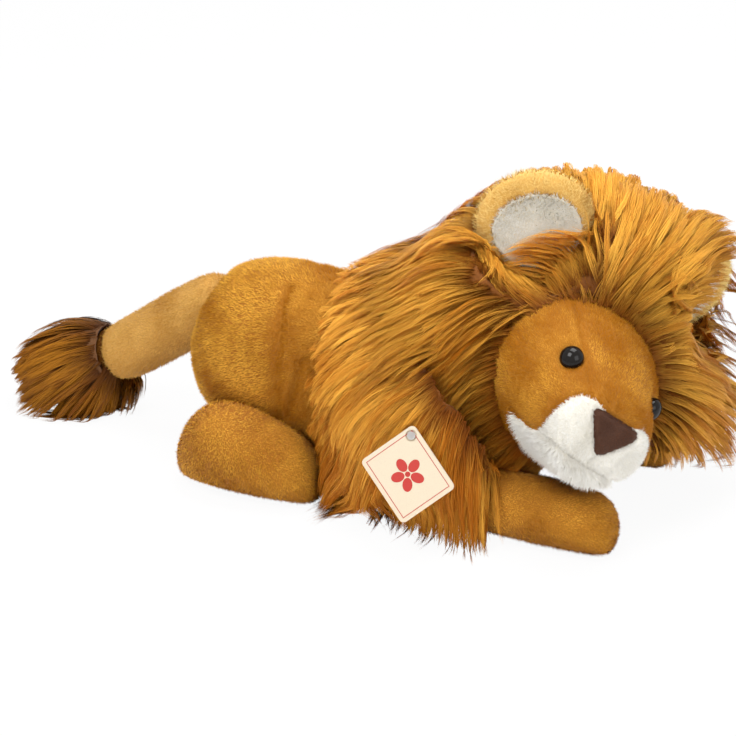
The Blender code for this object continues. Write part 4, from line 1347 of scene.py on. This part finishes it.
def hood_comb(places, normals):
    """Away from the middle of the face, back over the head, and down."""
    local = to_head(places)
    around = np.zeros_like(local)
    around[:, 1:] = local[:, 1:]
    around = unit(around)
    near_side = np.clip(-around[:, 1:2], 0, 1)
    far_side = np.clip(around[:, 1:2] * 1.6 + 0.1, 0, 1) * np.clip(around[:, 2:3] * 2 + 0.6, 0, 1)
    drop = (0.25 + 0.65 * near_side) * np.array([0, 0, -1.0])
    low_far = far_cheek(local)[:, None]
    backward = FACE_AXIS * (0.55 - 0.40 * far_side + 0.5 * low_far)
    return unit(from_head(around) * (0.85 - 0.45 * low_far) - backward + drop)


def cape_comb(places, normals):
    """Back and down, steeper near the ground and on the chest."""
    low = np.clip((110 * MM - places[:, 2]) / (80 * MM), 0, 1)[:, None]
    front = np.clip((places[:, 0] - 5 * MM) / (50 * MM), 0, 1)[:, None]
    back_way = np.array([-0.85, 0, -0.50]) * (1 - low) + np.array([-0.15, 0, -1.0]) * low
    way = unit(back_way * (1 - front) + np.array([0.1, 0, -1.0]) * front + normals * (0.05 + 0.30 * low))
    ground = np.clip((16 * MM - places[:, 2]) / (14 * MM), 0, 1)[:, None]
    spread = normals * np.array([1, 1, 0]) + np.array([0, -0.15, 0])
    return unit(way * (1 - 0.85 * ground) + spread * 1.4 * ground)


HOOD_HAIR, CAPE_HAIR, SHORTEST = (52, 76), (50, 74), 12 * MM
HAIR_END = -64 * MM
draw = np.random.default_rng(301)
trees = [(forms_tree, 0.0), (ear_tree, 0.0)]
hood_local = to_head(hood_roots)
hood_lengths = draw.uniform(*HOOD_HAIR, len(hood_roots)) * MM * (1 - 0.62 * far_cheek(hood_local))
hood_lengths *= 1 - 0.13 * np.clip(hood_local[:, 1] / (20 * MM), 0, 1)
hood_guides = grow_guides(hood_roots, hood_normals, hood_comb, hood_lengths, 0.7, 0.30, 302, trees)
low_share = np.clip((70 * MM - cape_roots[:, 2]) / (40 * MM), 0, 1)
room_behind = (cape_roots[:, 0] - HAIR_END) * 1.25 + (8 + 26 * low_share) * MM
cape_lengths = draw.uniform(*CAPE_HAIR, len(cape_roots)) * MM
cape_lengths = np.clip(np.minimum(cape_lengths, room_behind), SHORTEST, CAPE_HAIR[1] * MM)
cape_lengths = cape_lengths * draw.uniform(0.85, 1.1, len(cape_roots))
cape_guides = grow_guides(cape_roots, cape_normals, cape_comb, cape_lengths, 0.45, 0.30, 303, trees)
hair_step = np.linalg.norm(np.diff(hood_guides, axis=1), axis=2).mean()
print("guide steps mm:", round(float(hair_step) * 1000, 2))

# %% [markdown]
# Every guide now becomes a lock of strands. The tone changes softly from lock
# to lock. The crown is paler as painted light from above, and the cape is darker,
# most near the ground, as painted shade.

# %% Locks of the mane
def head_middle(lines):
    """The head's own middle line, from which the hood's hair faces away."""
    return np.broadcast_to(HEAD_PLACE - FACE_AXIS * 10 * MM, lines.shape)


def body_middle(lines):
    """The body's middle line, from which the cape's hair faces away."""
    middle = lines.copy()
    middle[..., 1] = 0
    middle[..., 2] = 55 * MM
    return middle


PER_LOCK = 22
STRAND_WIDTH = 0.42 * MM
ROOT_SPREAD, TIP_SPREAD = 4.6 * MM, 1.2 * MM
hood_tones_with_light = 0.58 + 0.24 * sines(hood_roots, 40 * MM, 311) + draw.normal(scale=0.17, size=len(hood_roots))
# Painted light: the hood's locks grow paler with height, as if lit from above, and darker low down.
hood_tones_with_light += np.clip((hood_roots[:, 2] - 120 * MM) / (70 * MM), -0.6, 1.0) * 0.22
# Painted shade: the cape's locks start darker than the hood's and darken towards the ground; high up they
# turn paler as painted light.
cape_tones_with_light = 0.30 + 0.24 * sines(cape_roots, 40 * MM, 312) + draw.normal(scale=0.17, size=len(cape_roots))
cape_tones_with_light += np.clip((cape_roots[:, 2] - 90 * MM) / (50 * MM), -0.8, 1.0) * 0.34
split_locks("hood_locks", hood_guides, hair_outward(hood_guides, head_middle), hood_tones_with_light, 6,
            PER_LOCK, ROOT_SPREAD, TIP_SPREAD, STRAND_WIDTH, 321, "head", MANE_PILE)
split_locks("cape_locks", cape_guides, hair_outward(cape_guides, body_middle), cape_tones_with_light, 4,
            PER_LOCK, ROOT_SPREAD, TIP_SPREAD, STRAND_WIDTH, 331, "torso", MANE_PILE)

# %% [markdown]
# The tuft at the tail's end is a sleeve of the same long pile, dyed darker.
# It is combed along the tail, and its hair hangs a little below it. Some locks
# are rooted on the tail itself, so that they hide the sleeve's front edge.

# %% Locks of the tuft
TUFT_ROOT = np.array([-245, 0, 44]) * MM
TUFT_END = np.array([-312, 0, 20]) * MM
TUFT_WAY = unit(TUFT_END - TUFT_ROOT)
tuft_front = float(((arrays_of(tuft)[0] - TUFT_ROOT) @ TUFT_WAY).min())


def at_sleeve(places, normals):
    """A narrow band of the tail before the sleeve, whose hair hides the seam."""
    ahead = tuft_front - (places - TUFT_ROOT) @ TUFT_WAY
    return (ahead > -5 * MM) & (ahead < 2.5 * MM)


tuft_roots, tuft_normals = open_roots(tuft, 0.060, 401, [tree_of(tail)], 3 * MM)
rim_roots, rim_normals = roots_on(tail, 0.22, 405, at_sleeve)
tuft_roots = np.concatenate([tuft_roots, rim_roots])
tuft_normals = np.concatenate([tuft_normals, rim_normals])
print("tuft roots", len(tuft_roots), "of them on the tail", len(rim_roots))


def tuft_comb(places, normals):
    under = np.clip(-normals[:, 2:3], 0, 1)
    down = np.array([0, 0, -0.25]) - np.array([0, 0, 0.75]) * under
    return unit(TUFT_WAY * (1 - 0.55 * under) + down + normals * 0.18)


tuft_lengths = np.clip(np.linalg.norm(tuft_roots - TUFT_END, axis=1) * 0.95, 24 * MM, 56 * MM)
tuft_guides = grow_guides(tuft_roots, tuft_normals, tuft_comb, tuft_lengths, 0.3, 0.12, 402,
                          [(tree_of(tuft), 0.5 * MM)])
tuft_tones = 0.42 + 0.25 * sines(tuft_roots, 25 * MM, 403) + draw.normal(scale=0.12, size=len(tuft_roots))


def tuft_middle(lines):
    share = ((lines - TUFT_ROOT) @ TUFT_WAY)[..., None]
    return TUFT_ROOT + share * TUFT_WAY


lock_piece("tuft_locks", tuft_guides, hair_outward(tuft_guides, tuft_middle), PER_LOCK, 3.6 * MM,
           0.9 * MM, 0.55 * MM, tuft_tones, 404, "tail", TUFT_PILE)

# %% [markdown]
# The hang tag is two leaves of card on a clear pin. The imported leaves, the pin
# and the washers behind the eyes are right as they are, so they only get their
# finish.

# %% Tag and washers
def refinish(node, finish):
    """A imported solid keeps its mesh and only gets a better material."""
    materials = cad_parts[node].data.materials
    materials.clear()
    materials.append(finish)


for node, finish in (("tag_back", CARD), ("tag_cover", CARD), ("tag_pin", CLEAR),
                     ("eye_washer_right", CLEAR), ("eye_washer_left", CLEAR)):
    refinish(node, finish)
    print(node, "is now", finish.name)

# %% [markdown]
# A plain printed border and a small flower in red lie on the tag's cover, a
# hair's breadth above the card. They are drawn in the card's own plane, which
# the model gives by the way it faces and the ways of its two edges.

# %% Print on the tag
TAG_FACE = unit(np.array([0.0955, -0.9085, 0.4067]))
TAG_EDGE = unit(np.array([-0.6847, 0.2367, 0.6894]))
TAG_SIDE = np.cross(TAG_FACE, TAG_EDGE)
some, _ = arrays_of(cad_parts["tag_cover"])
level = float((some @ TAG_FACE).max()) + 0.06 * MM
middle = [((some @ way).max() + (some @ way).min()) / 2 for way in (TAG_EDGE, TAG_SIDE)]
reach = [np.ptp(some @ way) / 2 for way in (TAG_EDGE, TAG_SIDE)]


def print_shape(points, faces, flat, quads):
    """Adds a flat shape, given in the card's plane from its middle, in metres."""
    count = len(points)
    for along, aside in flat:
        points.append(TAG_EDGE * (middle[0] + along) + TAG_SIDE * (middle[1] + aside) + TAG_FACE * level)
    faces.extend([[count + number for number in face] for face in quads])


def ring(half_long, half_wide, line):
    """The corners and the four sides of a thin rectangular border."""
    outer = [(long_way * half_long, wide_way * half_wide)
             for long_way, wide_way in ((1, 1), (-1, 1), (-1, -1), (1, -1))]
    inner = [(along - math.copysign(line, along), aside - math.copysign(line, aside))
             for along, aside in outer]
    return outer + inner, [(side, (side + 1) % 4, (side + 1) % 4 + 4, side + 4) for side in range(4)]


def oval(centre_along, centre_aside, half_long, half_wide, turn, sides=20):
    spots = []
    for number in range(sides):
        angle = 2 * math.pi * number / sides
        long, wide = half_long * math.cos(angle), half_wide * math.sin(angle)
        spots.append((centre_along + long * math.cos(turn) - wide * math.sin(turn),
                      centre_aside + long * math.sin(turn) + wide * math.cos(turn)))
    return spots, [tuple(range(sides))]


BORDER_IN, BORDER_LINE = 2.6 * MM, 0.45 * MM
PETALS, PETAL_OUT, PETAL_LONG, PETAL_WIDE = 5, 6.4 * MM, 4.3 * MM, 3.1 * MM
HEART = 1.7 * MM
points, faces = [], []
print_shape(points, faces, *ring(reach[0] - BORDER_IN, reach[1] - BORDER_IN, BORDER_LINE))
for number in range(PETALS):
    turn = 2 * math.pi * number / PETALS
    print_shape(points, faces, *oval(PETAL_OUT * math.cos(turn), PETAL_OUT * math.sin(turn),
                                     PETAL_LONG, PETAL_WIDE, turn))
print_shape(points, faces, *oval(0, 0, HEART, HEART, 0))
tag_print = piece_from("tag_print", np.array(points), faces, PRINT)
dress(tag_print, "tag_cover")
print("tag half sizes mm:", [round(float(half) * 1000, 1) for half in reach])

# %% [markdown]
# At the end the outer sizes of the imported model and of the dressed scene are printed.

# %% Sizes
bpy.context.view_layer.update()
for label, box in (("cad", cad_box), ("visual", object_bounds())):
    print(label, [[round(part, 4) for part in corner] for corner in box])
